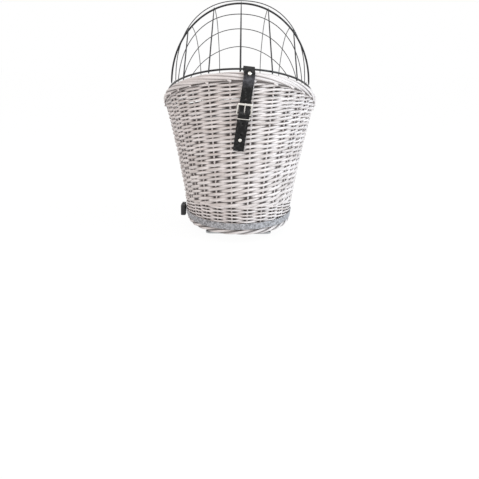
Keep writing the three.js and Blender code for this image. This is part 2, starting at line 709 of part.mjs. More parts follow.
// A rivet or hole placed on the seat, its axis square to the leather
function onSeat(geometry, n, drop, lean) {
  return geometry.rotateX(Math.PI / 2 + lean).translate(0, -n, -drop);
}
function rod(radius, from, to) {
  return new THREE.CylinderGeometry(radius, radius, to - from, 12).rotateX(Math.PI / 2).translate(0, 0, (from + to) / 2);
}
function rivet(headRadius, headHeight, shankEnd, tailRadius) {
  const head = [[0, shankEnd], [tailRadius, shankEnd], [tailRadius, shankEnd + (tailRadius > 2 ? 1.2 : 0.1)]];
  return lathe([
    ...head, [2, shankEnd + (tailRadius > 2 ? 1.2 : 0.1)], [2, 0], [headRadius, 0],
    [headRadius * 0.9, headHeight * 0.55], [headRadius * 0.5, headHeight * 0.93], [0, headHeight],
  ], 10);
}

// Closing strap at the rear
const closure = leatherSeat(STRAP_X, false, STRAP_YAW, STRAP_SLANT);
basket.add(closure.seat);
const closureReach = (drop) => seatReach(closure, drop, STRAP_WIDTH / 2);
const onWall = (drop, offset) => new THREE.Vector2(closureReach(drop) + offset, drop);
const wallLean = (drop) => Math.atan((closureReach(drop - 5) - closureReach(drop + 5)) / 10);

const STRAP_COVER = BORDER_RADIUS + 1.7;
const STRAP_WRAP = RING_Z - STRAP_COVER;
const CHAPE_CLEAR = 0.8;
const HEEL_OUT = CHAPE_CLEAR + LEATHER / 2 + BUCKLE_RADIUS + 0.35 + LEATHER / 2;
const HEEL_WRAP = BUCKLE_RADIUS + 0.35 + LEATHER / 2;
const TIP_OUT = 0.8 + LEATHER + 0.6 + BUCKLE_RADIUS;
const BILLET_HIGH = HEEL_OUT + HEEL_WRAP + LEATHER + 0.6;
const BILLET_LOW = CHAPE_CLEAR + LEATHER / 2 + 2 * LAYER_PITCH + 0.3;

const billetLower = smooth([
  onWall(TIP_DROP - 18, 3.4), onWall(TIP_DROP - 8, 2.1), onWall(TIP_DROP + 0.5, 1.8), onWall(TIP_DROP + 5, 3.1),
  onWall(HEEL_DROP - 8, 7), onWall(HEEL_DROP - 2, BILLET_HIGH),
  onWall(HEEL_DROP + 5, BILLET_HIGH + 0.3), onWall(KEEPER_DROP + 4, BILLET_HIGH), onWall(KEEPER_DROP + 11, BILLET_LOW + 1.2),
  onWall(KEEPER_DROP + 18, BILLET_LOW), onWall(KEEPER_DROP + 28, BILLET_LOW), onWall(LOWER_RIVET_DROP - 4.5, BILLET_LOW),
], 26);
const billetPath = foldOverBorder(closure, STRAP_WRAP, STRAP_COVER, THREE.MathUtils.degToRad(-22), billetLower);
const TOP_RIVET_ANGLE = THREE.MathUtils.degToRad(26);
function onBorder(geometry, radius) {
  return geometry.rotateX(Math.PI / 2 - TOP_RIVET_ANGLE).translate(
    0,
    -(closure.borderN + radius * Math.cos(TOP_RIVET_ANGLE)),
    -(closure.borderD - radius * Math.sin(TOP_RIVET_ANGLE)),
  );
}
const outerTop = STRAP_COVER + LAYER_PITCH + LEATHER / 2;
const holeDrops = [TIP_DROP - 10, KEEPER_DROP + 7.7, LOWER_RIVET_DROP - 12.5];
const billetHoles = holeDrops.map((drop) => onSeat(rod(2, -12, 12), closureReach(drop) + 5, drop, wallLean(drop)));
const prongSlot = new THREE.BoxGeometry(3.8, 30, 13).translate(0, -(closureReach(HEEL_DROP - 8) + 6), -(HEEL_DROP - 8.2));
const billet = cut(strip(billetPath, STRAP_WIDTH, true), [
  onBorder(rod(2.3, -4.6, 3), outerTop), prongSlot, ...billetHoles,
]);
addMesh(closure.seat, 'closing_strap', billet, leather);
addMesh(closure.seat, 'strap_top_rivet', onBorder(rivet(4, 1.8, -4.3, 2), outerTop + GAP), nickel);

// Lower strap folded round the buckle's heel bar and riveted through the wall
const heel = onWall(HEEL_DROP, HEEL_OUT);
const chapeLow = CHAPE_CLEAR + LEATHER / 2;
const chapePath = [
  ...[STRAP_END_DROP - 3, 145, 136, 127, 118, 109, 100, HEEL_DROP + 4].map((drop) => onWall(drop, chapeLow)),
  ...arcPoints(heel.x, heel.y, HEEL_WRAP, Math.PI - wallLean(HEEL_DROP), -wallLean(HEEL_DROP), 8),
  ...smooth([
    onWall(94, HEEL_OUT + HEEL_WRAP), onWall(101, HEEL_OUT + HEEL_WRAP), onWall(108, chapeLow + LAYER_PITCH + 1),
    onWall(115, chapeLow + LAYER_PITCH), onWall(135, chapeLow + LAYER_PITCH),
    onWall(STRAP_END_DROP, chapeLow + LAYER_PITCH),
  ], 14),
];
const rivetLean = wallLean(LOWER_RIVET_DROP);
const rivetOut = closureReach(LOWER_RIVET_DROP) + chapeLow + LAYER_PITCH + LEATHER / 2;
const lowerShank = onSeat(rod(2.4, -30, 4), rivetOut, LOWER_RIVET_DROP, rivetLean);
const chape = cut(strip(chapePath, STRAP_WIDTH), [
  new THREE.BoxGeometry(5.2, 16, 13.5).translate(0, -heel.x, -(HEEL_DROP + 1.6)),
  lowerShank,
]);
addMesh(closure.seat, 'buckle_strap', chape, leather);
const shankDepth = chapeLow + LAYER_PITCH + LEATHER / 2 + WALL_THICKNESS + 3.4;
addMesh(closure.seat, 'strap_lower_rivet',
  onSeat(rivet(4, 1.8, -shankDepth, 4.5), rivetOut + GAP, LOWER_RIVET_DROP, rivetLean), nickel);

// Buckle frame, prong and keeper
const halfFrame = STRAP_WIDTH / 2 + FRAME_MARGIN;
const tip = onWall(TIP_DROP, TIP_OUT);
function framePoint(x, share) {
  const n = THREE.MathUtils.lerp(heel.x, tip.x, share);
  const drop = THREE.MathUtils.lerp(heel.y, tip.y, share);
  return new THREE.Vector3(x, -n, -drop);
}
const corner = 2.4;
const frameLength = heel.distanceTo(tip);
const cornerShare = corner / frameLength;
const framePath = [];
for (const [cx, cs, from] of [[1, 0, -0.5], [1, 1, 0], [-1, 1, 0.5], [-1, 0, 1]]) {
  for (let k = 0; k <= 4; k += 1) {
    const angle = Math.PI * (from + (k / 4) * 0.5);
    const x = cx * (halfFrame - corner) + corner * Math.cos(angle);
    const share = (cs ? 1 - cornerShare : cornerShare) + cornerShare * Math.sin(angle);
    framePath.push(framePoint(x, share));
  }
}
const frameNormal = framePoint(0, 1).sub(framePoint(0, 0)).cross(AXIS_X).normalize();
addMesh(closure.seat, 'buckle_frame', sweep(framePath, frameNormal, polygon(BUCKLE_RADIUS, 8), true), nickel);

const prongTurn = BUCKLE_RADIUS + GAP + PRONG_RADIUS;
const overTip = new THREE.Vector2(tip.x + BUCKLE_RADIUS + PRONG_RADIUS + GAP, tip.y);
const prongEnd = overTip.clone().addScaledVector(overTip.clone().sub(heel).normalize(), 3);
const prongLeave = Math.atan2(heel.y - overTip.y, overTip.x - heel.x) - Math.acos(prongTurn / heel.distanceTo(overTip));
const prongArc = arcPoints(heel.x, heel.y, prongTurn, prongLeave - THREE.MathUtils.degToRad(292), prongLeave, 14);
const prongPath = [...prongArc, prongArc.at(-1).clone().lerp(prongEnd, 0.5), prongEnd]
  .map((p) => new THREE.Vector3(0, -p.x, -p.y));
addMesh(closure.seat, 'buckle_prong', sweep(prongPath, AXIS_X, polygon(PRONG_RADIUS, 8)), nickel);

const keeperIn = closureReach(KEEPER_DROP) + HEEL_OUT;
const keeperOut = closureReach(KEEPER_DROP) + BILLET_HIGH + LEATHER / 2 + KEEPER_RADIUS + 0.7;
const keeperHalf = STRAP_WIDTH / 2 + 1.5;
const keeperFlat = STRAP_WIDTH / 2;
const keeperPath = [
  [-keeperFlat, keeperIn], [keeperFlat, keeperIn], [keeperHalf, keeperIn + 1.5], [keeperHalf, keeperOut - 1.5],
  [keeperFlat, keeperOut], [-keeperFlat, keeperOut], [-keeperHalf, keeperOut - 1.5], [-keeperHalf, keeperIn + 1.5],
].map(([x, n]) => new THREE.Vector3(x, -n, -KEEPER_DROP));
addMesh(closure.seat, 'strap_keeper', sweep(keeperPath, AXIS_Z, polygon(KEEPER_RADIUS, 8), true), nickel);

// Leather loops that hinge the lid at the front
const wallCuts = [lowerShank.clone().applyMatrix4(closure.seat.matrixWorld)];
for (const [side, x] of [['left', -HINGE_STRAP_X], ['right', HINGE_STRAP_X]]) {
  const loop = leatherSeat(x, true, 0, 0);
  basket.add(loop.seat);
  const reach = (drop) => seatReach(loop, drop, HINGE_STRAP_WIDTH / 2);
  const lean = (drop) => Math.atan((reach(drop - 4) - reach(drop + 4)) / 8);
  const low = 0.6 + LEATHER / 2;
  const loopDrops = [HINGE_RIVET_DROP - 10, HINGE_RIVET_DROP - 2, HINGE_RIVET_DROP + 8];
  const outer = loopDrops.map((drop) => new THREE.Vector2(reach(drop) + low + LAYER_PITCH, drop));
  const cover = BORDER_RADIUS + 1.7 + LEATHER / 2;
  const inner = loopDrops.toReversed().map((drop) => new THREE.Vector2(reach(drop) + low, drop));
  const innerLeave = leaveAngle(loop.borderN, loop.borderD, cover, inner.at(-1));
  const path = [...inner, ...foldOverBorder(loop, RING_Z - cover, cover, innerLeave, outer)];
  const out = reach(HINGE_RIVET_DROP) + low + LAYER_PITCH + LEATHER / 2;
  const shank = onSeat(rod(2.4, -30, 4), out, HINGE_RIVET_DROP, lean(HINGE_RIVET_DROP));
  addMesh(loop.seat, `hinge_loop_${side}`, cut(strip(path, HINGE_STRAP_WIDTH), [shank]), leather);
  const depth = low + LAYER_PITCH + LEATHER / 2 + WALL_THICKNESS + 3.4;
  addMesh(loop.seat, `hinge_rivet_${side}`,
    onSeat(rivet(4, 1.8, -depth, 4.5), out + GAP, HINGE_RIVET_DROP, lean(HINGE_RIVET_DROP)), nickel);
  wallCuts.push(shank.clone().applyMatrix4(loop.seat.matrixWorld));
}
addMesh(basket, 'wicker_wall', cut(wallGeometry, wallCuts), willow);

export default basket;
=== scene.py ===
"""Looks of a whitewashed wicker pet basket for a bicycle rack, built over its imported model.

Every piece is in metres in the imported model's frame, rides on one of its bodies and stands for its solids.
"""

import math

import bpy
import numpy as np
from bpy.props import FloatProperty, FloatVectorProperty, IntProperty, PointerProperty
from mathutils import Euler, Matrix, Vector


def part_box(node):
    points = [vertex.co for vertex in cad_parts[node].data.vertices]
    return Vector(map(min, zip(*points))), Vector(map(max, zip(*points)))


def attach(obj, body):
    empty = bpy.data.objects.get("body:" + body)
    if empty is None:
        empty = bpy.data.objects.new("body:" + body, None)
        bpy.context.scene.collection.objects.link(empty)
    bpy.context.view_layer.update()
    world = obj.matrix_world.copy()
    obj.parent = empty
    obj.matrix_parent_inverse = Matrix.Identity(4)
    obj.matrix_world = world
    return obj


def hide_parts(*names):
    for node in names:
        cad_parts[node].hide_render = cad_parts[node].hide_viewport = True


bl_info = {
    "name": "Wicker Pet Basket",
    "version": (1, 0, 0),
    "blender": (4, 5, 0),
    "location": "View3D > Sidebar > Basket",
    "description": "Builds a wicker bicycle pet basket with a wire dome lid and a leather strap",
    "category": "Object",
}

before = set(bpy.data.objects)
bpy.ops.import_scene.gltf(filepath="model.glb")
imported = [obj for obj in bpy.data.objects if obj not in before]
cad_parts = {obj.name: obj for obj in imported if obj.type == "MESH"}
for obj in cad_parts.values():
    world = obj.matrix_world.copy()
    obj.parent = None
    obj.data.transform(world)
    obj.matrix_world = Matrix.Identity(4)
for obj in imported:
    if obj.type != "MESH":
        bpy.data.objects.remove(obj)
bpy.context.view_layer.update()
IMAGE_SIDE = 479
WHOLE_TURN = 2 * math.pi
UP = np.array([0.0, 0.0, 1.0])

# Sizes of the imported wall, in metres, with turn 0 at the rear centre and the right side at a quarter turn
RIM_A = 0.166
RIM_B = 0.266
STAKES_A = 0.145
STAKES_B = 0.234
MIDDLE_A = 0.14
MIDDLE_B = 0.225
FOOT_A = 0.1155
FOOT_B = 0.1885
RIM_TILT = math.radians(14)
RIM_CENTRE_Z = 0.289
WALL_Z = 0.03096
WALL_FLARE = 0.28
WALL_HALF = 0.005
BORDER_RADIUS = 0.009
BORDER_CLEARANCE = 0.0003
FOOT_RADIUS = 0.0055
FOOT_MIDDLE_Z = 0.0205 + FOOT_RADIUS


def count_property(name, description, default, **limits):
    return IntProperty(name=name, description=description, default=default, **limits)


def length_property(name, description, default):
    return FloatProperty(name=name, description=description, default=default, unit="LENGTH")


def colour_property(name, description, default):
    return FloatVectorProperty(name=name, description=description, subtype="COLOR", size=3, default=default)


class BasketSizes(bpy.types.PropertyGroup):
    """Counts and sizes of the weave, the borders and the cushion"""

    stakes: count_property("Stakes", "Upright stakes round the wall", 30, min=12, max=60)
    rounds: count_property("Rounds", "Rounds of weaving over the foot rows at the rear", 25, min=6, max=40)
    stake_radius: length_property("Stake radius", "Radius of an upright stake", 0.0021)
    butt_share: FloatProperty(
        name="Butt thickness", description="Height of the lowest round over that of the mean round",
        default=1.2,
    )
    weave_depth: length_property("Weave depth", "Half of the woven wall's thickness", 0.0053)
    foot_rounds: count_property("Foot rounds", "Level rows of thin rods at the foot", 14, min=4, max=24)
    border_strands: count_property("Border rods", "Rods side by side in the top border", 7, min=3, max=10)
    border_turns: count_property("Border turns", "Turns of the top border's lay round the rim", 4)
    foot_strands: count_property("Foot rods", "Rods twisted together in the foot border", 3, min=2, max=8)
    foot_turns: count_property("Foot turns", "Turns of the foot border's twist", 8)
    cushion_swell: length_property("Cushion swell", "Most that the filling moves the cover", 0.009)


class BasketColours(bpy.types.PropertyGroup):
    """Colours of the basket's finishes"""

    whitewash: colour_property("Whitewash", "Paint on the willow", (0.812, 0.762, 0.753))
    bare_willow: colour_property("Bare willow", "Wood where the paint is thin", (0.45, 0.36, 0.31))
    # Painted shade: a near-black colour laid down in the weave and in the gap under the border, far darker
    # than the bare willow
    recess: colour_property("Recess", "Unpainted wood between the rods", (0.058, 0.044, 0.042))
    wire: colour_property("Wire", "Coating of the lid's wires", (0.012, 0.012, 0.014))
    leather: colour_property("Leather", "Black leather", (0.006, 0.0058, 0.0062))
    # Painted sheen: a bluish grey highlight laid where the closing strap bends
    leather_sheen: colour_property(
        "Rubbed leather", "Leather where the closing strap bends", (0.125, 0.125, 0.142)
    )
    nickel: colour_property("Nickel", "Plated buckle and rivets", (0.80, 0.77, 0.72))
    webbing: colour_property("Webbing", "Belt round the foot", (0.37, 0.37, 0.39))
    plastic: colour_property("Plastic", "Belt buckle", (0.016, 0.016, 0.018))
    zinc: colour_property("Zinc", "Clamp bars, plates and bolts", (0.48, 0.49, 0.50))
    plush: colour_property("Plush", "Cushion cover", (0.46, 0.43, 0.40))


# Shape of the wall
def smooth_step(x):
    """A soft step from 0 to 1."""
    x = np.clip(x, 0, 1)
    return x * x * (3 - 2 * x)


def at_height(flat, z):
    """Points of a plan at a height, one for all or one for each."""
    return np.concatenate([flat, np.broadcast_to(z, flat.shape[:-1])[..., None]], -1)


def plan(a, b, t, out):
    """Points on the basket's plan ellipse at turn t, moved outwards."""
    across, along = np.sin(t) / a, -np.cos(t) / b
    length = np.hypot(across, along)
    return np.stack([a * np.sin(t) + across / length * out, -b * np.cos(t) + along / length * out], -1)


def wall_top(t):
    """Height of the wall's upper edge at turn t."""
    drop = (BORDER_RADIUS + BORDER_CLEARANCE) / math.cos(RIM_TILT)
    return RIM_CENTRE_Z + math.tan(RIM_TILT) * RIM_B * np.cos(t) - drop


def wall_at(t, z, out):
    """Points of the wall at turn t and height z, moved outwards from its middle."""
    t, z, out = np.broadcast_arrays(np.asarray(t, float), z, out)
    level = (z - WALL_Z) / (wall_top(t) - WALL_Z)
    spread = level - WALL_FLARE * level * (1 - level)
    flat = plan(FOOT_A + (RIM_A - FOOT_A) * spread, FOOT_B + (RIM_B - FOOT_B) * spread, t, out)
    return at_height(flat, z)


def wall_out(t):
    """Level outward directions at turn t."""
    return at_height(plan(MIDDLE_A, MIDDLE_B, t, 1.0) - plan(MIDDLE_A, MIDDLE_B, t, 0.0), 0.0)


def even_turn(a, b):
    """A function from steps of equal length round an ellipse, one whole turn each 1.0, to the turn there."""
    t = np.linspace(0, WHOLE_TURN, 1441)
    points = plan(a, b, t, 0.0)
    length = np.concatenate([[0], np.cumsum(np.linalg.norm(np.diff(points, axis=0), axis=1))])
    share = length / length[-1]

    def turn(step):
        whole = np.floor(step)
        return np.interp(step - whole, share, t) + WHOLE_TURN * whole

    return turn


def even_ring(a, b, steps):
    """Even steps round an ellipse: their shares of a turn, the points there and the ways outwards."""
    share = np.arange(steps) / steps
    t = even_turn(a, b)(share)
    middle = at_height(plan(a, b, t, 0.0), 0.0)
    return share, middle, at_height(plan(a, b, t, 1.0), 0.0) - middle


# Meshes
def pick(obj):
    """Makes one object the only one selected, and active."""
    bpy.ops.object.select_all(action="DESELECT")
    obj.select_set(True)
    bpy.context.view_layer.objects.active = obj


def points_of(piece):
    return np.array([v.co for v in piece.data.vertices])


def move_points(piece, points):
    piece.data.vertices.foreach_set("co", points.astype(np.float32).ravel())
    piece.data.update()


def skin(name, points, faces, **attributes):
    """A mesh object from points and faces, smooth, with float or vector attributes on its points."""
    mesh = bpy.data.meshes.new(name)
    mesh.from_pydata(points.tolist(), [], faces)
    for key, values in attributes.items():
        kind, field = ("FLOAT_VECTOR", "vector") if values.ndim == 2 else ("FLOAT", "value")
        layer = mesh.attributes.new(key, kind, "POINT")
        layer.data.foreach_set(field, values.astype(np.float32).ravel())
    obj = bpy.data.objects.new(name, mesh)
    bpy.context.scene.collection.objects.link(obj)
    pick(obj)
    bpy.ops.object.shade_smooth()
    return obj


def ring_quads(first, sides, closed):
    """Faces between rings of points, from the number of each ring's first point."""
    here, after = (first, np.roll(first, -1)) if closed else (first[:-1], first[1:])
    k = np.arange(sides)
    turned = (k + 1) % sides
    corners = [here[:, None] + k, here[:, None] + turned, after[:, None] + turned, after[:, None] + k]
    return np.stack(corners, -1).reshape(-1, 4).tolist()


# Painted shade on a woven rod: its outer and inner faces where they sink in, and its sides all along
FACE_SHADE_FROM = 0.63
FACE_SHADE_RATE = 2.9
FACE_WIDTH = 0.7
SIDE_SHADE = 0.24
SIDE_SHADE_RATE = 0.85
GRAIN_SHIFT = 4


class RodBundle:
    """Round rods gathered into one mesh, with their grain, tone and the painted shade of their depth in the
    weave on the points.
    """

    def __init__(self, sides, seed):
        self.sides = sides
        self.random = np.random.default_rng(seed)
        self.points = []
        self.faces = []
        self.grain = []
        self.tone = []
        self.recess = []
        self.count = 0

    def add(self, line, out, radius, depth=None, closed=False, flat=1.0, shade=0.0, groove=0.0, tone=None):
        """One rod along a line, with its first side facing out.

        Depth is its place in the weave, from -1 inside to 1 outside, and paints shade on the faces that sink
        in and on the sides.
        Shade paints shade over a rod that has no depth, and groove over its sides and back. A rod without a
        tone draws one.
        """
        count, sides = len(line), self.sides
        if closed:
            along = np.roll(line, -1, 0) - np.roll(line, 1, 0)
        else:
            along = np.gradient(line, axis=0)
        along /= np.linalg.norm(along, axis=1, keepdims=True)
        side = out - (out * along).sum(1, keepdims=True) * along
        side /= np.linalg.norm(side, axis=1, keepdims=True)
        up = np.cross(along, side)
        angle = WHOLE_TURN * np.arange(sides) / sides
        cosine, sine = np.cos(angle), np.sin(angle)
        radius = np.broadcast_to(np.asarray(radius, float), (count,))
        spoke = side[:, None] * (cosine * flat)[None, :, None] + up[:, None] * sine[None, :, None]
        self.points.append((line[:, None] + spoke * radius[:, None, None]).reshape(-1, 3))
        self.close(count, closed)
        run = np.concatenate([[0], np.cumsum(np.linalg.norm(np.diff(line, axis=0), axis=1))])
        shift = self.random.uniform(0, GRAIN_SHIFT, 3)
        self.grain.append(np.stack([
            np.repeat(run, sides) + shift[0],
            np.outer(radius, cosine).ravel() + shift[1],
            np.outer(radius, sine).ravel() + shift[2],
        ], -1))
        own = self.random.uniform(0, 1) if tone is None else tone
        self.tone.append(np.full(count * sides, own))
        # Painted shade: set by shade and groove on a rod without depth, else on the faces that sink in and on
        # the sides
        if depth is None:
            recess = np.tile(shade + groove * smooth_step(1 - cosine), (count, 1))
        else:
            facing = cosine[None, :]
            sunk = 0.5 - 0.5 * depth[:, None] * np.sign(facing)
            face = np.abs(facing) ** FACE_WIDTH
            recess = face * smooth_step((sunk - FACE_SHADE_FROM) * FACE_SHADE_RATE)
            recess = recess + (1 - face) * (SIDE_SHADE + SIDE_SHADE_RATE * sunk)
        self.recess.append(recess.ravel())
        self.count += count * sides

    def close(self, count, closed):
        """Faces between a new rod's rings of points, with its ends capped unless it is closed."""
        first = self.count + np.arange(count) * self.sides
        self.faces.extend(ring_quads(first, self.sides, closed))
        if not closed:
            k = np.arange(self.sides)
            self.faces.append((first[0] + k[::-1]).tolist())
            self.faces.append((first[-1] + k).tolist())

    def mesh(self, name):
        return skin(
            name, np.concatenate(self.points), self.faces, grain=np.concatenate(self.grain),
            tone=np.concatenate(self.tone), recess=np.concatenate(self.recess),
        )


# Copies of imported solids
JOIN_DISTANCE = 0.00001
FLAT_FACE_ANGLE = math.radians(40)
FLAT_FACE_SKEW = math.radians(60)
HARD_EDGE_ANGLE = math.radians(35)
EDGE_SHADE_ANGLE = math.radians(40)
BELT_SHADE_ANGLE = math.radians(50)
WIRE_LEVELS = 2


def copy_of(node, name):
    """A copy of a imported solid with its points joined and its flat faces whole, active and selected."""
    pick(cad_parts[node])
    bpy.ops.object.duplicate()
    piece = bpy.context.view_layer.objects.active
    piece.name = name
    piece.data.name = name
    piece.parent = None
    for key in [k for k in piece.keys() if k.startswith("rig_")]:
        del piece[key]
    bpy.ops.object.mode_set(mode="EDIT")
    bpy.ops.mesh.select_all(action="SELECT")
    bpy.ops.mesh.remove_doubles(threshold=JOIN_DISTANCE)
    bpy.ops.mesh.tris_convert_to_quads(face_threshold=FLAT_FACE_ANGLE, shape_threshold=FLAT_FACE_SKEW)
    bpy.ops.mesh.customdata_custom_splitnormals_clear()
    bpy.ops.object.mode_set(mode="OBJECT")
    return piece


def fatten(distance):
    """Moves all points of the active piece outwards, or inwards where the distance is negative."""
    bpy.ops.object.mode_set(mode="EDIT")
    bpy.ops.mesh.select_all(action="SELECT")
    bpy.ops.transform.shrink_fatten(value=distance)
    bpy.ops.object.mode_set(mode="OBJECT")


def subdivide(piece, levels):
    """Rounds the active piece by subdivision and shades it smooth."""
    rounding = piece.modifiers.new("rounding", "SUBSURF")
    rounding.levels = levels
    rounding.render_levels = levels
    bpy.ops.object.modifier_apply(modifier=rounding.name)
    bpy.ops.object.shade_smooth()


def round_copy(node, name, swell):
    """A copy of a drawn wire or bar with a round section: its points moved out by swell and subdivided."""
    piece = copy_of(node, name)
    fatten(swell)
    subdivide(piece, WIRE_LEVELS)
    return piece


def edged_copy(node, name, width):
    """A copy of a cut or moulded piece with its hard edges rounded."""
    piece = copy_of(node, name)
    edging = piece.modifiers.new("edging", "BEVEL")
    edging.width = width
    edging.segments = 2
    edging.limit_method = "ANGLE"
    edging.angle_limit = HARD_EDGE_ANGLE
    edging.miter_outer = "MITER_ARC"
    bpy.ops.object.modifier_apply(modifier=edging.name)
    bpy.ops.object.shade_smooth_by_angle(angle=EDGE_SHADE_ANGLE)
    return piece


# Materials
def add_node(tree, kind, inputs=None, **settings):
    """A shader node with its settings, and its inputs set or joined."""
    node = tree.nodes.new(kind)
    for key, value in settings.items():
        setattr(node, key, value)
    for key, value in (inputs or {}).items():
        if isinstance(value, bpy.types.NodeSocket):
            tree.links.new(value, node.inputs[key])
        else:
            node.inputs[key].default_value = value
    return node


class Finish:
    """A material with one shader, and short ways to add and join its nodes."""

    def __init__(self, name, colour, roughness, metallic=0.0):
        self.material = bpy.data.materials.new(name)
        self.material.use_nodes = True
        self.tree = self.material.node_tree
        self.shader = self.tree.nodes["Principled BSDF"]
        self.set("Base Color", (*colour, 1))
        self.set("Roughness", roughness)
        self.set("Metallic", metallic)
        self.material.diffuse_color = (*colour, 1)

    def set(self, name, value):
        """Sets a value on the shader's own socket."""
        self.shader.inputs[name].default_value = value

    def join(self, output, name):
        """Joins a node's output to the shader."""
        self.tree.links.new(output, self.shader.inputs[name])

    def add(self, kind, inputs=None, **settings):
        return add_node(self.tree, kind, inputs, **settings)

    def place(self, scale=(1, 1, 1), attribute=None):
        """Coordinates in the piece's own space, or from a named attribute, stretched by scale."""
        if attribute:
            source = self.add("ShaderNodeAttribute", attribute_name=attribute).outputs["Vector"]
        else:
            source = self.add("ShaderNodeTexCoord").outputs["Object"]
        return self.add("ShaderNodeMapping", {"Vector": source, "Scale": scale}).outputs["Vector"]

    def value(self, attribute):
        return self.add("ShaderNodeAttribute", attribute_name=attribute).outputs["Fac"]

    def axes(self, vector):
        return self.add("ShaderNodeSeparateXYZ", {"Vector": vector}).outputs

    def noise(self, vector, scale, detail=4.0, roughness=0.55):
        inputs = {"Vector": vector, "Scale": scale, "Detail": detail, "Roughness": roughness}
        return self.add("ShaderNodeTexNoise", inputs).outputs["Fac"]

    def ramp(self, value, low, high, to_low=0.0, to_high=1.0):
        """A value from low to high brought to the range from to_low to to_high, and held at its ends."""
        inputs = {"Value": value, "From Min": low, "From Max": high, "To Min": to_low, "To Max": to_high}
        return self.add("ShaderNodeMapRange", inputs).outputs["Result"]

    def math(self, operation, first, second=0.0):
        return self.add("ShaderNodeMath", {0: first, 1: second}, operation=operation).outputs[0]

    def mix(self, factor, first, second):
        """The first colour where the factor is 0 and the second where it is 1."""
        colours = [c if isinstance(c, bpy.types.NodeSocket) else (*c, 1) for c in (first, second)]
        inputs = {"Factor": factor, 6: colours[0], 7: colours[1]}
        return self.add("ShaderNodeMix", inputs, data_type="RGBA").outputs[2]

    def paint(self, factor, first, second):
        """Colours the shader with a mix of two colours."""
        self.join(self.mix(factor, first, second), "Base Color")

    def roughen(self, noise, low, high):
        """Roughness from low to high over the usual range of a noise."""
        self.join(self.ramp(noise, 0.3, 0.7, low, high), "Roughness")

    def bump(self, height, strength, distance):
        inputs = {"Height": height, "Strength": strength, "Distance": distance}
        self.join(self.add("ShaderNodeBump", inputs).outputs["Normal"], "Normal")


def tint(colour, times, plus=0.0):
    """A colour made darker or lighter, at most white."""
    return tuple(min(1.0, c * times + plus) for c in colour)


def willow_finish(colours):
    """Whitewashed willow: streaked paint along each rod, thin on some, and painted shade down in the weave.
    """
    finish = Finish("whitewashed_willow", colours.whitewash, 0.62)
    fibre = finish.noise(finish.place((60, 700, 700), "grain"), scale=1.0, detail=5.0, roughness=0.6)
    patch = finish.noise(finish.place((14, 160, 160), "grain"), scale=1.0, detail=3.0)
    relief = finish.math("ADD", fibre, patch)
    streak = finish.ramp(relief, 1.02, 1.34, 0.0, 0.62)
    tone = finish.ramp(finish.value("tone"), 0.0, 1.0, 0.0, 0.34)
    streak = finish.math("MULTIPLY", streak, finish.ramp(finish.value("tone"), 0.0, 0.5, 0.35, 1.0))
    paint = finish.mix(finish.math("ADD", streak, tone), colours.whitewash, colours.bare_willow)
    chalk = finish.ramp(patch, 0.48, 0.6, 0.0, 0.85)
    paint = finish.mix(chalk, paint, tint(colours.whitewash, 1.2))
    # Painted shade: rods darken to near black where they sink into the weave, in grooves and in the gap under
    # the border
    sunk = finish.ramp(finish.value("recess"), 0.12, 0.9, 0.0, 0.96)
    finish.paint(sunk, paint, colours.recess)
    finish.roughen(fibre, 0.5, 0.74)
    finish.set("Specular IOR Level", 0.35)
    finish.bump(relief, strength=0.35, distance=0.0006)
    return finish.material


def wire_finish(colours):
    """Black coated steel wire, with a slightly uneven coat."""
    finish = Finish("black_wire_coat", colours.wire, 0.36)
    coat = finish.noise(finish.place(), scale=900.0, detail=3.0)
    wear = finish.noise(finish.place(), scale=240.0, detail=5.0, roughness=0.7)
    wear = finish.ramp(wear, 0.66, 0.78, 0.0, 0.5)
    finish.paint(wear, colours.wire, tint(colours.wire, 5, 0.02))
    finish.roughen(coat, 0.28, 0.46)
    finish.set("Specular IOR Level", 0.5)
    finish.bump(coat, strength=0.12, distance=0.0003)
    return finish.material


# Heights of the bend at the closing strap's top, where a sheen is painted
STRAP_BEND_LOW = 0.334
STRAP_BEND_MIDDLE = 0.351
STRAP_BEND_HIGH = 0.360


def leather_finish(colours):
    """Black leather with a pebbled grain and soft creases, and a painted bluish sheen where the closing strap
    bends down.
    """
    finish = Finish("black_leather", colours.leather, 0.48)
    place = finish.place()
    pebbles = {"Vector": place, "Scale": 900.0, "Randomness": 1.0}
    pebble = finish.add("ShaderNodeTexVoronoi", pebbles, feature="SMOOTH_F1").outputs["Distance"]
    crease = finish.noise(place, scale=160.0, detail=6.0, roughness=0.65)
    worn = finish.ramp(crease, 0.5, 0.64, 0.0, 0.9)
    hide = finish.mix(worn, colours.leather, tint(colours.leather, 3, 0.024))
    height = finish.axes(place)[2]
    rising = finish.ramp(height, STRAP_BEND_LOW, STRAP_BEND_MIDDLE)
    falling = finish.ramp(height, STRAP_BEND_HIGH, STRAP_BEND_MIDDLE)
    bend = finish.math("MULTIPLY", rising, falling)
    # Painted sheen: a bluish grey highlight on the band where the closing strap bends, broken by the creases
    rubbing_and_sheen = finish.math("MULTIPLY", bend, finish.ramp(crease, 0.36, 0.58, 0.35, 1.0))
    finish.paint(rubbing_and_sheen, hide, colours.leather_sheen)
    finish.roughen(crease, 0.28, 0.46)
    finish.set("Specular IOR Level", 0.22)
    finish.bump(finish.math("ADD", pebble, crease), strength=0.3, distance=0.0005)
    return finish.material


def nickel_finish(colours):
    """Nickel plate with fine rubbing marks and duller patches."""
    finish = Finish("nickel_plate", colours.nickel, 0.26, 1.0)
    rubbing_and_sheen = finish.noise(finish.place((1, 1, 9)), scale=420.0, detail=6.0, roughness=0.7)
    dull = finish.ramp(finish.noise(finish.place(), scale=90.0, detail=3.0), 0.52, 0.7, 0.0, 0.6)
    finish.paint(dull, colours.nickel, tint(colours.nickel, 0.62))
    finish.roughen(rubbing_and_sheen, 0.18, 0.4)
    finish.bump(rubbing_and_sheen, strength=0.06, distance=0.0002)
    return finish.material


YARN = 0.0016
YARN_SQUEEZE = 0.9


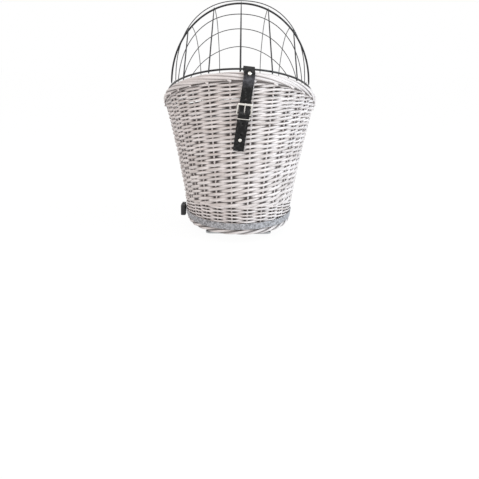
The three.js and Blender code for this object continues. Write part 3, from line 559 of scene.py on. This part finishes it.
def webbing_finish(colours):
    """Grey woven webbing: yarn ribs along and across, from the belt's own length and height."""
    finish = Finish("grey_webbing", colours.webbing, 0.8)
    length, height, _ = finish.axes(finish.place(attribute="belt"))
    ribs = math.pi / YARN
    along = finish.math("SINE", finish.math("MULTIPLY", length, ribs))
    across = finish.math("SINE", finish.math("MULTIPLY", height, ribs * YARN_SQUEEZE))
    yarn = finish.math("MULTIPLY", along, across)
    fleck = finish.noise(finish.place(attribute="belt"), scale=170.0, detail=4.0, roughness=0.8)
    fade = finish.noise(finish.place((0.5, 1, 1), "belt"), scale=60.0, detail=3.0)
    ribbed = finish.ramp(yarn, -1.0, 1.0, 0.0, 0.25)
    shade = finish.math("ADD", ribbed, finish.ramp(fleck, 0.43, 0.57, 0.0, 0.8))
    light = tint(colours.webbing, 1.62)
    woven = finish.mix(shade, light, tint(colours.webbing, 0.33))
    finish.paint(finish.ramp(fade, 0.4, 0.65, 0.0, 0.35), woven, light)
    finish.bump(yarn, strength=0.5, distance=0.0004)
    finish.set("Sheen Weight", 0.15)
    return finish.material


def plastic_finish(colours):
    """Black moulded plastic with a fine spark-eroded surface."""
    finish = Finish("black_moulded_plastic", colours.plastic, 0.46)
    texture = finish.noise(finish.place(), scale=1500.0, detail=2.0)
    scuff = finish.noise(finish.place((1, 6, 1)), scale=130.0, detail=5.0, roughness=0.7)
    scuffed = finish.ramp(scuff, 0.58, 0.75, 0.0, 0.5)
    finish.paint(scuffed, colours.plastic, tint(colours.plastic, 3, 0.01))
    finish.roughen(scuff, 0.38, 0.56)
    finish.bump(texture, strength=0.18, distance=0.0002)
    return finish.material


def zinc_finish(colours):
    """Zinc plated steel, lightly brushed and clouded."""
    finish = Finish("zinc_plate", colours.zinc, 0.38, 1.0)
    brushed = finish.noise(finish.place((2, 60, 60)), scale=26.0, detail=5.0, roughness=0.7)
    cloud = finish.ramp(finish.noise(finish.place(), scale=70.0), 0.42, 0.66, 0.0, 0.7)
    finish.paint(cloud, colours.zinc, tint(colours.zinc, 0.7))
    finish.roughen(brushed, 0.28, 0.52)
    finish.bump(brushed, strength=0.08, distance=0.0003)
    return finish.material


def plush_finish(colours):
    """Short plush: soft tufts, a fine pile and a sheen at grazing light."""
    finish = Finish("cushion_plush", colours.plush, 0.95)
    place = finish.place()
    tuft = finish.noise(place, scale=190.0, detail=4.0, roughness=0.6)
    pile = finish.noise(place, scale=1400.0, detail=3.0)
    crush = finish.noise(place, scale=24.0, detail=3.0)
    fur = finish.mix(finish.ramp(tuft, 0.35, 0.65), tint(colours.plush, 0.7), tint(colours.plush, 1.2))
    finish.paint(finish.ramp(crush, 0.42, 0.62, 0.0, 0.4), fur, colours.plush)
    finish.bump(finish.math("ADD", tuft, pile), strength=0.7, distance=0.0018)
    finish.set("Sheen Weight", 0.5)
    finish.set("Sheen Roughness", 0.5)
    return finish.material


FINISHES = {}
MAKERS = {
    "willow": willow_finish,
    "black_wire": wire_finish,
    "black_leather": leather_finish,
    "nickel": nickel_finish,
    "grey_webbing": webbing_finish,
    "black_plastic": plastic_finish,
    "zinc_steel": zinc_finish,
    "cushion_plush": plush_finish,
}


def settle(piece, slot, *nodes, body="basket"):
    """Puts a finished piece in place of its solids: its slot's material and the body that it rides on.

    A slot's material is made the first time that it is asked for.
    """
    if slot not in FINISHES:
        FINISHES[slot] = MAKERS[slot](bpy.context.scene.basket_colours)
    piece.data.materials.clear()
    piece.data.materials.append(FINISHES[slot])
    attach(piece, body)
    if nodes:
        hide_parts(*nodes)


# Wall
STEPS_PER_STAKE = 6
STAKE_PHASE = 0.55
STAKE_POINTS = 14
WEAVE_START_REAR = 0.086
WEAVE_START_FRONT = 0.066
ROUNDS_END = 0.013
FRONT_ROUND_SHARE = 0.9
ROUNDS_UNDER_BORDER = 2
ROD_END_HEIGHT = 0.004

# Rods of the wall: size, unevenness, and painted shade on the left side and under the rim
ROD_SHARE = 0.315
ROD_LEAST_REACH = 0.0012
ROD_HEIGHT_SWAY = 0.0008
ROD_THICKNESS_SWAY = 0.1
ROD_REACH_SWAY = 0.08
ROD_DEPTH_SWAY = 0.06
LEFT_SIDE_SHADE = 0.11
RIM_SHADE = 0.4
RIM_SHADE_HEIGHT = 0.014

# Level rows at the foot
FOOT_ROD_SHARE = 0.56
FOOT_ROD_SWAY = 0.08
FOOT_HEIGHT_SWAY = 0.0003

# Rod inside the top of the wall, with some painted shade, and a dark rod of painted shadow in the gap under
# the border
RIM_ROD_RADIUS = 0.0042
RIM_ROD_HEIGHT = 0.0025
RIM_ROD_STEPS = 4
GAP_ROD_THIN = 0.0008
GAP_ROD_TAPER = 0.0011
GAP_ROD_HEIGHT = 0.0012
GAP_ROD_OUT = 0.0045
GAP_ROD_STEPS = 12


def weave_start(t):
    """Height where the weaving starts, over the foot rows."""
    return WEAVE_START_FRONT + (WEAVE_START_REAR - WEAVE_START_FRONT) * (0.5 + 0.5 * np.cos(t))


def weave_height(sizes, t, done):
    """Height on the wall after a number of rounds, thick butts first, and the height of one round there.

    A round is little lower at the front than at the rear, so the upper rounds end under the sloping border.
    """
    share = done / sizes.rounds
    inside = np.clip(share, 0, 1)
    taper = sizes.butt_share - 1
    slope = 1 + taper * (1 - 2 * inside)
    level = inside * (1 + taper * (1 - inside)) + (share - inside) * slope
    rear = float(wall_top(0.0)) - ROUNDS_END - WEAVE_START_REAR
    height = rear * (1 - (1 - FRONT_ROUND_SHARE) * (0.5 - 0.5 * np.cos(t)))
    return weave_start(t) + height * level, height / sizes.rounds * slope


class BASKET_OT_wall(bpy.types.Operator):
    """Weaves the wall: stakes, rods that climb round them, level rows at the foot and rods at the rim"""

    bl_idname = "basket.wall"
    bl_label = "Woven wall"

    def execute(self, context):
        sizes = context.scene.basket_sizes
        turn = even_turn(STAKES_A, STAKES_B)
        settle(self.stakes(sizes, turn), "willow")
        weave = RodBundle(sides=8, seed=5)
        for start in range(sizes.stakes):
            self.weaver(sizes, weave, turn, start)
        settle(weave.mesh("wall_weave"), "willow", "wicker_wall")
        settle(self.foot_rows(sizes, turn), "willow")
        settle(self.rim_rods(sizes, turn), "willow")
        return {"FINISHED"}

    def stakes(self, sizes, turn):
        """Upright stakes from the foot to inside the border."""
        bundle = RodBundle(sides=8, seed=4)
        for k in range(sizes.stakes):
            t = np.full(STAKE_POINTS, turn((k + STAKE_PHASE) / sizes.stakes))
            z = np.linspace(WALL_Z, float(wall_top(t[0])) + ROD_END_HEIGHT, STAKE_POINTS)
            bundle.add(wall_at(t, z, 0.0), wall_out(t), sizes.stake_radius, shade=0.14)
        return bundle.mesh("wall_stakes")

    def weaver(self, sizes, bundle, turn, start):
        """One rod from its butt behind a stake, in front of the next and behind the third, and on so upwards.

        It climbs to its tip under the border, and is cut where the sloping border comes below it.
        """
        last = 2 * (sizes.rounds + ROUNDS_UNDER_BORDER)
        steps = (last + 1) * STEPS_PER_STAKE + 1
        passed = np.linspace(-1, last, steps)
        wander = bundle.random.normal(0, 1, (3, last + 2))
        knots = np.arange(-1, last + 1)
        height_sway, thickness_sway, reach_sway = (np.interp(passed, knots, row) for row in wander)
        t = turn((start + passed + STAKE_PHASE) / sizes.stakes)
        z, pitch = weave_height(sizes, t, passed / 2)
        z = z + ROD_HEIGHT_SWAY * height_sway
        radius = ROD_SHARE * pitch * (1 + ROD_THICKNESS_SWAY * thickness_sway)
        swing = np.cos(math.pi * passed)
        reach = np.maximum(sizes.weave_depth - radius, ROD_LEAST_REACH) * (1 + ROD_REACH_SWAY * reach_sway)
        line, out = wall_at(t, z, swing * reach), wall_out(t)
        # Painted shade: depth is lowered on the left side, as if lit from the right, and close under the
        # border, so the rods there darken more
        depth = swing - LEFT_SIDE_SHADE * np.sin(t) * (np.sin(t) - 1) + ROD_DEPTH_SWAY * reach_sway
        depth = depth - RIM_SHADE * smooth_step(1 - (wall_top(t) - z) / RIM_SHADE_HEIGHT)
        under_border = z < wall_top(t) + ROD_END_HEIGHT
        breaks = np.flatnonzero(np.diff(under_border)) + 1
        for part in np.split(np.arange(steps), breaks):
            if under_border[part[0]] and len(part) > 2:
                bundle.add(line[part], out[part], radius[part], depth=depth[part], flat=0.86)

    def foot_rows(self, sizes, turn):
        """Level rows of thin rods at the foot, in front of a stake and behind the next, by turns."""
        bundle = RodBundle(sides=8, seed=6)
        steps = sizes.stakes * STEPS_PER_STAKE
        share = np.arange(steps) / steps
        t = turn(share + STAKE_PHASE / sizes.stakes)
        pitch = (weave_start(t) - WALL_Z) / sizes.foot_rounds
        knots = np.arange(sizes.stakes + 1)
        for row in range(sizes.foot_rounds):
            wander = bundle.random.normal(0, 1, sizes.stakes + 1)
            wander[-1] = wander[0]
            sway = np.interp(share * sizes.stakes, knots, wander)
            swing = np.cos(math.pi * (share * sizes.stakes + row))
            radius = FOOT_ROD_SHARE * pitch * (1 + FOOT_ROD_SWAY * sway)
            z = WALL_Z + (row + 0.5) * pitch + FOOT_HEIGHT_SWAY * sway
            line = wall_at(t, z, swing * (sizes.weave_depth - radius))
            bundle.add(line, wall_out(t), radius, depth=swing, closed=True)
        return bundle.mesh("foot_rows")

    def rim_rods(self, sizes, turn):
        """A rod inside the wall's top, with some painted shade, and a dark rod of painted shadow in the gap
        under the border, thick just after each stake.
        """
        bundle = RodBundle(sides=8, seed=7)
        steps = sizes.stakes * RIM_ROD_STEPS
        t = turn(np.arange(steps) / steps)
        line = wall_at(t, wall_top(t) + RIM_ROD_HEIGHT, 0.0)
        bundle.add(line, wall_out(t), RIM_ROD_RADIUS, closed=True, shade=0.4)
        # Painted shadow: a dark rod laid in the gap under the border, where there is only shade
        steps = sizes.stakes * GAP_ROD_STEPS
        share = np.arange(steps) / steps
        t = turn(share)
        after_stake = (share * sizes.stakes - STAKE_PHASE) % 1
        radius = GAP_ROD_THIN + GAP_ROD_TAPER * (1 - after_stake)
        line = wall_at(t, wall_top(t) + GAP_ROD_HEIGHT, GAP_ROD_OUT)
        bundle.add(line, wall_out(t), radius, closed=True, shade=0.85)
        return bundle.mesh("rim_rod")


# Borders
BORDER_STEPS = 288
BORDER_STRAND = 0.0034
BORDER_LEAN = 0.25
BORDER_LEANS = 3
BORDER_TONE_STEP = 0.06
FOOT_STEPS = 400
FOOT_STRAND = 0.0033
FOOT_FULLNESS = 0.0004

# Cut ends under the border, from where each comes out to its tip
CUT_END_TURN = np.linspace(-0.03, 0.02, 4)
CUT_END_DROP = np.linspace(0.001, 0.004, 4)
CUT_END_OUT = np.linspace(0.002, 0.0072, 4)
CUT_END_RADIUS = np.array([0.0018, 0.002, 0.002, 0.0019])
CUT_END_SWAY = 0.0012
CUT_END_HEIGHT = 0.004


def strand_way(out, angle):
    """Ways from the middle of a border to a strand that winds round it."""
    return out * np.cos(angle)[:, None] + UP * np.sin(angle)[:, None]


class BASKET_OT_top_border(bpy.types.Operator):
    """Lays the top border of long rods round the tilted rim, with cut ends under it"""

    bl_idname = "basket.top_border"
    bl_label = "Top border"

    def execute(self, context):
        sizes = context.scene.basket_sizes
        share, middle, out = even_ring(RIM_A, RIM_B / math.cos(RIM_TILT), BORDER_STEPS)
        tilt = np.array(Euler((-RIM_TILT, 0, 0)).to_matrix())
        bundle = RodBundle(sides=10, seed=11)
        for k in range(sizes.border_strands):
            angle = WHOLE_TURN * (k / sizes.border_strands - sizes.border_turns * share)
            way = strand_way(out, angle + BORDER_LEAN * np.sin(WHOLE_TURN * BORDER_LEANS * share + k))
            line = (middle + way * (BORDER_RADIUS - BORDER_STRAND)) @ tilt.T + UP * RIM_CENTRE_Z
            bundle.add(
                line, way @ tilt.T, BORDER_STRAND, closed=True, shade=0.02, groove=0.75,
                tone=BORDER_TONE_STEP * k,
            )
        self.ends(sizes, bundle)
        settle(bundle.mesh("border_rods"), "willow", "top_border")
        return {"FINISHED"}

    def ends(self, sizes, bundle):
        """Slanting cut ends that show under the border beside each stake."""
        turn = even_turn(STAKES_A, STAKES_B)
        for k in range(sizes.stakes):
            t = turn((k + STAKE_PHASE) / sizes.stakes) + CUT_END_TURN
            drop = CUT_END_DROP + CUT_END_SWAY * bundle.random.uniform(-1, 1)
            line = wall_at(t, wall_top(t) - drop + CUT_END_HEIGHT, CUT_END_OUT)
            bundle.add(line, wall_out(t), CUT_END_RADIUS, shade=0.05, tone=0.0)


class BASKET_OT_foot_border(bpy.types.Operator):
    """Twists the rods of the foot border"""

    bl_idname = "basket.foot_border"
    bl_label = "Foot border"

    def execute(self, context):
        sizes = context.scene.basket_sizes
        share, middle, out = even_ring(FOOT_A, FOOT_B, FOOT_STEPS)
        middle = middle + UP * FOOT_MIDDLE_Z
        bundle = RodBundle(sides=10, seed=13)
        for k in range(sizes.foot_strands):
            way = strand_way(out, WHOLE_TURN * (k / sizes.foot_strands + sizes.foot_turns * share))
            line = middle + way * (FOOT_RADIUS + FOOT_FULLNESS - FOOT_STRAND)
            bundle.add(line, way, FOOT_STRAND, closed=True, shade=0.02, groove=0.8, tone=0.05)
        settle(bundle.mesh("foot_rods"), "willow", "foot_border")
        return {"FINISHED"}


# Floor
FLOOR_Z = 0.03246
FLOOR_THICKNESS = 0.010
FLOOR_MIDDLE_Z = FLOOR_Z + FLOOR_THICKNESS / 2
FLOOR_EDGE_A = FOOT_A + 0.0005 - WALL_HALF
FLOOR_EDGE_B = FOOT_B + 0.0005 - WALL_HALF
STICKS_EACH_SIDE = 4
STICK_SPACING = 0.0223
STICK_RADIUS = 0.0026
STICK_POINTS = 9
STICK_END_GAP = 0.004
STICK_SHADE = 0.2
ROW_PITCH = 0.0052
ROW_RADIUS = 0.0027
ROW_SWING = 0.0023
ROW_STEP = 0.0028
ROW_LEAST_STEPS = 8
ROW_END_GAP = 0.002
FLOOR_LEAST_SPAN = 0.02
FLOOR_FIRST_ROD = 0.006
FLOOR_EDGE_ROD = 0.0038
FLOOR_EDGE_STEPS = 160


class BASKET_OT_floor(bpy.types.Operator):
    """Weaves the floor: long sticks, rods over and under them, and a rod round the edge"""

    bl_idname = "basket.floor"
    bl_label = "Woven floor"

    def execute(self, context):
        bundle = RodBundle(sides=8, seed=17)
        for x in np.arange(-STICKS_EACH_SIDE, STICKS_EACH_SIDE + 1) * STICK_SPACING:
            half = FLOOR_EDGE_B * math.sqrt(1 - (x / FLOOR_EDGE_A) ** 2) - STICK_END_GAP
            y = np.linspace(-half, half, STICK_POINTS)
            line = np.stack([np.full_like(y, x), y, np.full_like(y, FLOOR_MIDDLE_Z)], -1)
            bundle.add(line, UP, STICK_RADIUS, shade=STICK_SHADE)
        for i in range(int(2 * (FLOOR_EDGE_B - FLOOR_FIRST_ROD) / ROW_PITCH)):
            y = -FLOOR_EDGE_B + FLOOR_FIRST_ROD + (i + 0.5) * ROW_PITCH
            span = max(1 - (y / FLOOR_EDGE_B) ** 2, FLOOR_LEAST_SPAN)
            half = FLOOR_EDGE_A * math.sqrt(span) - ROW_END_GAP
            x = np.linspace(-half, half, max(int(half / ROW_STEP), ROW_LEAST_STEPS))
            swing = np.cos(math.pi * (x / STICK_SPACING)) * (-1) ** i
            line = np.stack([x, np.full_like(x, y), FLOOR_MIDDLE_Z + ROW_SWING * swing], -1)
            bundle.add(line, UP, ROW_RADIUS, depth=swing, flat=0.95)
        t = even_turn(FLOOR_EDGE_A, FLOOR_EDGE_B)(np.arange(FLOOR_EDGE_STEPS) / FLOOR_EDGE_STEPS)
        edge = at_height(plan(FLOOR_EDGE_A, FLOOR_EDGE_B, t, -FLOOR_EDGE_ROD), FLOOR_MIDDLE_Z)
        bundle.add(edge, UP, FLOOR_EDGE_ROD, closed=True, shade=STICK_SHADE)
        settle(bundle.mesh("floor_weave"), "willow", "woven_floor")
        return {"FINISHED"}


# Belt, with its section as distances out, shares of the height and shifts upwards
BELT_Z = 0.03246
BELT_LENGTH = 0.98
BELT_CLEARANCE = 0.0004
BELT_STEPS = 240
BELT_RIPPLE = 0.00022
BELT_RIPPLES = 31
BELT_FACE_OUT = 0.0019
BELT_SECTION = (
    (0.0, 0.0, 0.0004), (0.0006, 0.0, 0.0), (0.0014, 0.0, 0.0), (0.002, 0.0, 0.0005),
    (0.0021, 0.12, 0.0), (0.0019, 0.5, 0.0), (0.0021, 0.88, 0.0),
    (0.002, 1.0, -0.0005), (0.0014, 1.0, 0.0), (0.0006, 1.0, 0.0), (0.0, 1.0, -0.0004),
)
BUCKLE_EDGE = 0.0006


class BASKET_OT_belt(bpy.types.Operator):
    """Wraps the grey belt round the foot and dresses its buckle"""

    bl_idname = "basket.belt"
    bl_label = "Foot belt"

    def execute(self, context):
        share = np.arange(BELT_STEPS) / BELT_STEPS
        t = even_turn(FOOT_A, FOOT_B)(share)
        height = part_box("foot_belt")[1].z - BELT_Z
        waves = BELT_RIPPLE * np.sin(WHOLE_TURN * BELT_RIPPLES * share)
        rows, run = [], []
        for out, share_up, shift in BELT_SECTION:
            ripple = waves if out >= BELT_FACE_OUT else 0.0
            z = np.full(BELT_STEPS, BELT_Z + share_up * height + shift)
            rows.append(wall_at(t, z, WALL_HALF + BELT_CLEARANCE + out + ripple))
            run.append(np.stack([share * BELT_LENGTH, z, np.zeros(BELT_STEPS)], -1))
        size = len(BELT_SECTION)
        faces = ring_quads(np.arange(BELT_STEPS) * size, size, closed=True)
        points, belt = (np.stack(part, 1).reshape(-1, 3) for part in (rows, run))
        piece = skin("foot_belt_webbing", points, faces, belt=belt)
        bpy.ops.object.mode_set(mode="EDIT")
        bpy.ops.mesh.select_all(action="SELECT")
        bpy.ops.mesh.normals_make_consistent(inside=False)
        bpy.ops.object.mode_set(mode="OBJECT")
        bpy.ops.object.shade_smooth_by_angle(angle=BELT_SHADE_ANGLE)
        settle(piece, "grey_webbing", "foot_belt")
        for node in ("belt_buckle_housing", "belt_buckle_tongue"):
            part = edged_copy(node, node + "_moulded", BUCKLE_EDGE)
            settle(part, "black_plastic", node)
        return {"FINISHED"}


# Cushion
CUSHION_Z = 0.05746
CUSHION_INSET = 0.004
CUSHION_SECTORS = 24
CUSHION_FLOOR_GAP = 0.0004
CUSHION_CROWN = 0.002
CUSHION_WALL_GAP = 0.0016
STUFFING_VOXEL = 0.006
STUFFING_PRESSURE = 4.0
STUFFING_FRAMES = 20
LEAST_LENGTH = 1e-9
PIPING_A = 0.11
PIPING_B = 0.185
PIPING_Z = CUSHION_Z + 0.031
PIPING_WALL_GAP = 0.0035
PIPING_RADIUS = 0.0024
PIPING_STEPS = 160


class BASKET_OT_cushion(bpy.types.Operator):
    """Stuffs the cushion with a cloth simulation and sews a piped seam round it"""

    bl_idname = "basket.cushion"
    bl_label = "Cushion"

    def execute(self, context):
        piece = copy_of("cushion", "cushion_pad")
        fatten(-CUSHION_INSET)
        self.stuff(context, piece, context.scene.basket_sizes.cushion_swell)
        self.seat(piece)
        pick(piece)
        subdivide(piece, 1)
        settle(piece, "cushion_plush", "cushion")
        bundle = RodBundle(sides=8, seed=19)
        t = even_turn(PIPING_A, PIPING_B)(np.arange(PIPING_STEPS) / PIPING_STEPS)
        line = wall_at(t, PIPING_Z, -WALL_HALF - PIPING_WALL_GAP)
        bundle.add(line, wall_out(t), PIPING_RADIUS, closed=True)
        settle(bundle.mesh("cushion_piping"), "cushion_plush")
        return {"FINISHED"}

    def stuff(self, context, piece, swell):
        """Voxels, then a few frames of cloth under pressure, with each point's travel held to the swell."""
        remesh = piece.modifiers.new("voxels", "REMESH")
        remesh.mode = "VOXEL"
        remesh.voxel_size = STUFFING_VOXEL
        bpy.ops.object.modifier_apply(modifier=remesh.name)
        before = points_of(piece)
        cloth = piece.modifiers.new("stuffing", "CLOTH")
        cloth.settings.use_pressure = True
        cloth.settings.uniform_pressure_force = STUFFING_PRESSURE
        cloth.settings.effector_weights.gravity = 0.0
        cloth.point_cache.frame_start = 1
        cloth.point_cache.frame_end = STUFFING_FRAMES
        for number in range(1, STUFFING_FRAMES + 1):
            context.scene.frame_set(number)
        bpy.ops.object.modifier_apply(modifier=cloth.name)
        context.scene.frame_set(1)
        move = points_of(piece) - before
        length = np.linalg.norm(move, axis=1, keepdims=True)
        move_points(piece, before + move * np.minimum(1.0, swell / np.maximum(length, LEAST_LENGTH)))

    def seat(self, piece):
        """Fits the cover to its solid's space: out to the wall all round, and flat where it rests."""
        low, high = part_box("cushion")
        points = points_of(piece)
        t = np.arctan2(points[:, 0] / FOOT_A, -points[:, 1] / FOOT_B)
        z = np.clip(points[:, 2], low.z + CUSHION_FLOOR_GAP, high.z + CUSHION_CROWN)
        limit = np.linalg.norm(wall_at(t, z, -WALL_HALF - CUSHION_WALL_GAP)[:, :2], axis=1)
        filling = np.linalg.norm(points[:, :2], axis=1) / limit
        share = t / WHOLE_TURN % 1
        sector = (share * CUSHION_SECTORS).astype(int)
        filled = np.unique(sector)
        widest = [filling[sector == k].max() for k in filled]
        points[:, :2] /= np.interp(share, (filled + 0.5) / CUSHION_SECTORS, widest, period=1.0)[:, None]
        reach = np.linalg.norm(points[:, :2], axis=1)
        points[:, :2] *= np.minimum(1.0, limit / np.maximum(reach, LEAST_LENGTH))[:, None]
        points[:, 2] = z
        move_points(piece, points)


# Lid, with how far its wires move out to be round, because their solids have flat sides
RING_SWELL = 0.00034
PANEL_SWELL = 0.00013
WIRE_SWELL = 0.00004


class BASKET_OT_lid(bpy.types.Operator):
    """Draws the lid's welded wires round"""

    bl_idname = "basket.lid"
    bl_label = "Wire lid"

    def execute(self, context):
        for node in sorted(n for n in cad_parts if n.startswith("lid_")):
            if node in ("lid_ring", "lid_rear_arch"):
                swell = RING_SWELL
            elif node.startswith(("lid_panel", "lid_side")):
                swell = PANEL_SWELL
            else:
                swell = WIRE_SWELL
            settle(round_copy(node, node + "_drawn", swell), "black_wire", node, body="lid")
        return {"FINISHED"}


# Straps and buckle
LEATHER_EDGE = 0.00045
LEATHER_PIECES = ("closing_strap", "buckle_strap", "hinge_loop_left", "hinge_loop_right")
RIVETS = ("strap_top_rivet", "strap_lower_rivet", "hinge_rivet_left", "hinge_rivet_right")
PLATED_SWELL = {"buckle_frame": 0.0004, "buckle_prong": 0.0001, "strap_keeper": 0.00008}
PLATED_SWELL.update(dict.fromkeys(RIVETS, 0.00025))
STRAP_BODIES = {
    "closing_strap": "strap", "strap_top_rivet": "strap", "buckle_frame": "frame", "buckle_prong": "prong",
}
BAR_FADE_DEPTH = 0.005
BAR_FADE = 0.0025
BAR_THICKENING = 0.0009


class BASKET_OT_strap(bpy.types.Operator):
    """Dresses the straps and the hinge loops in leather, and the buckle and the rivets in nickel"""

    bl_idname = "basket.strap"
    bl_label = "Straps and buckle"

    def execute(self, context):
        for node in LEATHER_PIECES:
            piece = edged_copy(node, node + "_leather", LEATHER_EDGE)
            settle(piece, "black_leather", node, body=STRAP_BODIES.get(node, "basket"))
        for node, swell in PLATED_SWELL.items():
            piece = round_copy(node, node + "_plated", swell)
            if node == "buckle_frame":
                self.thicken_bar(piece)
            settle(piece, "nickel", node, body=STRAP_BODIES.get(node, "basket"))
        return {"FINISHED"}

    def thicken_bar(self, piece):
        """Thickens the buckle frame's upper bar, where the prong rests."""
        top, low = (sum(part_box(node), Vector()) / 2 for node in ("strap_top_rivet", "strap_lower_rivet"))
        upwards = np.array((top - low).normalized())
        points = points_of(piece)
        height = points @ upwards
        share = smooth_step((height - height.max() + BAR_FADE_DEPTH) / BAR_FADE)
        bar = points[share > 0.5]
        middle = bar.mean(0)
        along = np.linalg.svd(bar - middle, full_matrices=False)[2][0]
        offset = points - middle
        offset -= np.outer(offset @ along, along)
        offset /= np.linalg.norm(offset, axis=1, keepdims=True)
        move_points(piece, points + offset * (BAR_THICKENING * share)[:, None])


CLAMP_EDGE = 0.0003


class BASKET_OT_clamps(bpy.types.Operator):
    """Dresses the rack clamp's bars, plates, bolts, washers and nuts in zinc"""

    bl_idname = "basket.clamps"
    bl_label = "Rack clamps"

    def execute(self, context):
        for node in sorted(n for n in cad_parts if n.startswith(("clamp_", "floor_plate_"))):
            settle(edged_copy(node, node + "_zinc", CLAMP_EDGE), "zinc_steel", node)
        return {"FINISHED"}


# Stage
STAGE_SIZE = 40
STAGE_COLOUR = (0.9, 0.9, 0.9)
STAGE_GLOW = 1.03
STAGE_GLOW_SHARE = 0.93
WORLD_COLOUR = (1, 0.975, 0.96, 1)
WORLD_STRENGTH = 0.61
LAMP_SIZE = 1.6
LAMP_AIM = Vector((0, 0, 0.25))
CAMERA_DISTANCE = 1.668
CAMERA_HEIGHT = 0.3847
CAMERA_AZIMUTH = math.radians(0.2)
CAMERA_PITCH = math.radians(14.23)
CAMERA_ROLL = math.radians(0.7)
SENSOR_WIDTH = 36.0
FOCAL_PIXELS = 704.3
SHIFT_PIXELS = 1.4


def shown_rays(tree):
    """A value of 1 on rays that show the stage: the camera's, and those of mirrors and glass."""
    rays = add_node(tree, "ShaderNodeLightPath").outputs
    seen = rays["Is Camera Ray"]
    for name in ("Is Glossy Ray", "Is Transmission Ray"):
        seen = add_node(tree, "ShaderNodeMath", {0: seen, 1: rays[name]}, operation="MAXIMUM").outputs[0]
    return seen


class BASKET_OT_stage(bpy.types.Operator):
    """Sets up the pale floor, the soft light and the camera"""

    bl_idname = "basket.stage"
    bl_label = "Stage"

    def execute(self, context):
        self.floor()
        self.world(context.scene)
        self.lamp("window_lamp", place=(2.3, -0.95, 1.4), power=41.5, colour=(0.775, 0.91, 1.0))
        self.lamp("fill_lamp", place=(-0.7, -2.4, 2.1), power=20.0, colour=(1.0, 0.93, 0.88))
        self.camera(context.scene)
        context.scene.view_settings.view_transform = "Standard"
        return {"FINISHED"}

    def floor(self):
        """A wide floor that looks white, and keeps the object's shadow."""
        bpy.ops.object.select_all(action="DESELECT")
        bpy.ops.mesh.primitive_plane_add(size=STAGE_SIZE)
        floor = bpy.context.view_layer.objects.active
        floor.name = "studio_floor"
        finish = Finish("studio_white", STAGE_COLOUR, 0.9)
        glow = finish.add("ShaderNodeEmission", {"Strength": STAGE_GLOW})
        seen = finish.math("MULTIPLY", shown_rays(finish.tree), STAGE_GLOW_SHARE)
        blend = finish.add("ShaderNodeMixShader", {0: seen, 1: finish.shader.outputs[0], 2: glow.outputs[0]})
        finish.tree.links.new(blend.outputs[0], finish.tree.nodes["Material Output"].inputs["Surface"])
        floor.data.materials.append(finish.material)

    def world(self, scene):
        """Soft light from all round, behind a backdrop that looks white."""
        world = bpy.data.worlds.new("studio_world")
        scene.world = world
        world.use_nodes = True
        tree = world.node_tree
        light = tree.nodes["Background"]
        light.inputs["Color"].default_value = WORLD_COLOUR
        light.inputs["Strength"].default_value = WORLD_STRENGTH
        backdrop = add_node(tree, "ShaderNodeBackground", {"Color": (1, 1, 1, 1), "Strength": 1.0})
        inputs = {0: shown_rays(tree), 1: light.outputs[0], 2: backdrop.outputs[0]}
        blend = add_node(tree, "ShaderNodeMixShader", inputs)
        tree.links.new(blend.outputs[0], tree.nodes["World Output"].inputs["Surface"])

    def lamp(self, name, place, power, colour):
        """A wide square lamp that points at the basket."""
        bpy.ops.object.light_add(type="AREA", location=place)
        lamp = bpy.context.view_layer.objects.active
        lamp.name = name
        lamp.data.size = LAMP_SIZE
        lamp.data.energy = power
        lamp.data.color = colour
        lamp.rotation_euler = (LAMP_AIM - Vector(place)).to_track_quat("-Z", "Y").to_euler()

    def camera(self, scene):
        """A camera behind the basket, a little above it."""
        across, along = math.sin(CAMERA_AZIMUTH), math.cos(CAMERA_AZIMUTH)
        place = (-CAMERA_DISTANCE * across, -CAMERA_DISTANCE * along, CAMERA_HEIGHT)
        bpy.ops.object.camera_add(location=place)
        camera = bpy.context.view_layer.objects.active
        camera.name = "photo_camera"
        level = Euler((math.pi / 2 - CAMERA_PITCH, 0, -CAMERA_AZIMUTH)).to_matrix()
        camera.rotation_euler = (level @ Matrix.Rotation(CAMERA_ROLL, 3, "Z")).to_euler()
        camera.data.sensor_width = SENSOR_WIDTH
        camera.data.lens = SENSOR_WIDTH * FOCAL_PIXELS / IMAGE_SIDE
        camera.data.shift_x = SHIFT_PIXELS / IMAGE_SIDE
        scene.camera = camera


PIECE_OPERATORS = (
    BASKET_OT_stage, BASKET_OT_wall, BASKET_OT_top_border, BASKET_OT_foot_border, BASKET_OT_floor,
    BASKET_OT_belt, BASKET_OT_cushion, BASKET_OT_lid, BASKET_OT_strap, BASKET_OT_clamps,
)


class BASKET_PT_panel(bpy.types.Panel):
    """Lists the basket's sizes, colours and pieces"""

    bl_idname = "BASKET_PT_panel"
    bl_label = "Wicker Pet Basket"
    bl_space_type = "VIEW_3D"
    bl_region_type = "UI"
    bl_category = "Basket"

    def draw(self, context):
        for group in (context.scene.basket_sizes, context.scene.basket_colours):
            box = self.layout.box()
            for name in group.__annotations__:
                box.prop(group, name)
        for operator in PIECE_OPERATORS:
            self.layout.operator(operator.bl_idname)


CLASSES = (BasketSizes, BasketColours, *PIECE_OPERATORS, BASKET_PT_panel)


def register():
    for cls in CLASSES:
        bpy.utils.register_class(cls)
    bpy.types.Scene.basket_sizes = PointerProperty(type=BasketSizes)
    bpy.types.Scene.basket_colours = PointerProperty(type=BasketColours)


def unregister():
    del bpy.types.Scene.basket_colours
    del bpy.types.Scene.basket_sizes
    for cls in reversed(CLASSES):
        bpy.utils.unregister_class(cls)


def main():
    register()
    bpy.ops.basket.stage()
    bpy.ops.basket.wall()
    bpy.ops.basket.top_border()
    bpy.ops.basket.foot_border()
    bpy.ops.basket.floor()
    bpy.ops.basket.belt()
    bpy.ops.basket.cushion()
    bpy.ops.basket.lid()
    bpy.ops.basket.strap()
    bpy.ops.basket.clamps()


if __name__ == "__main__":
    main()
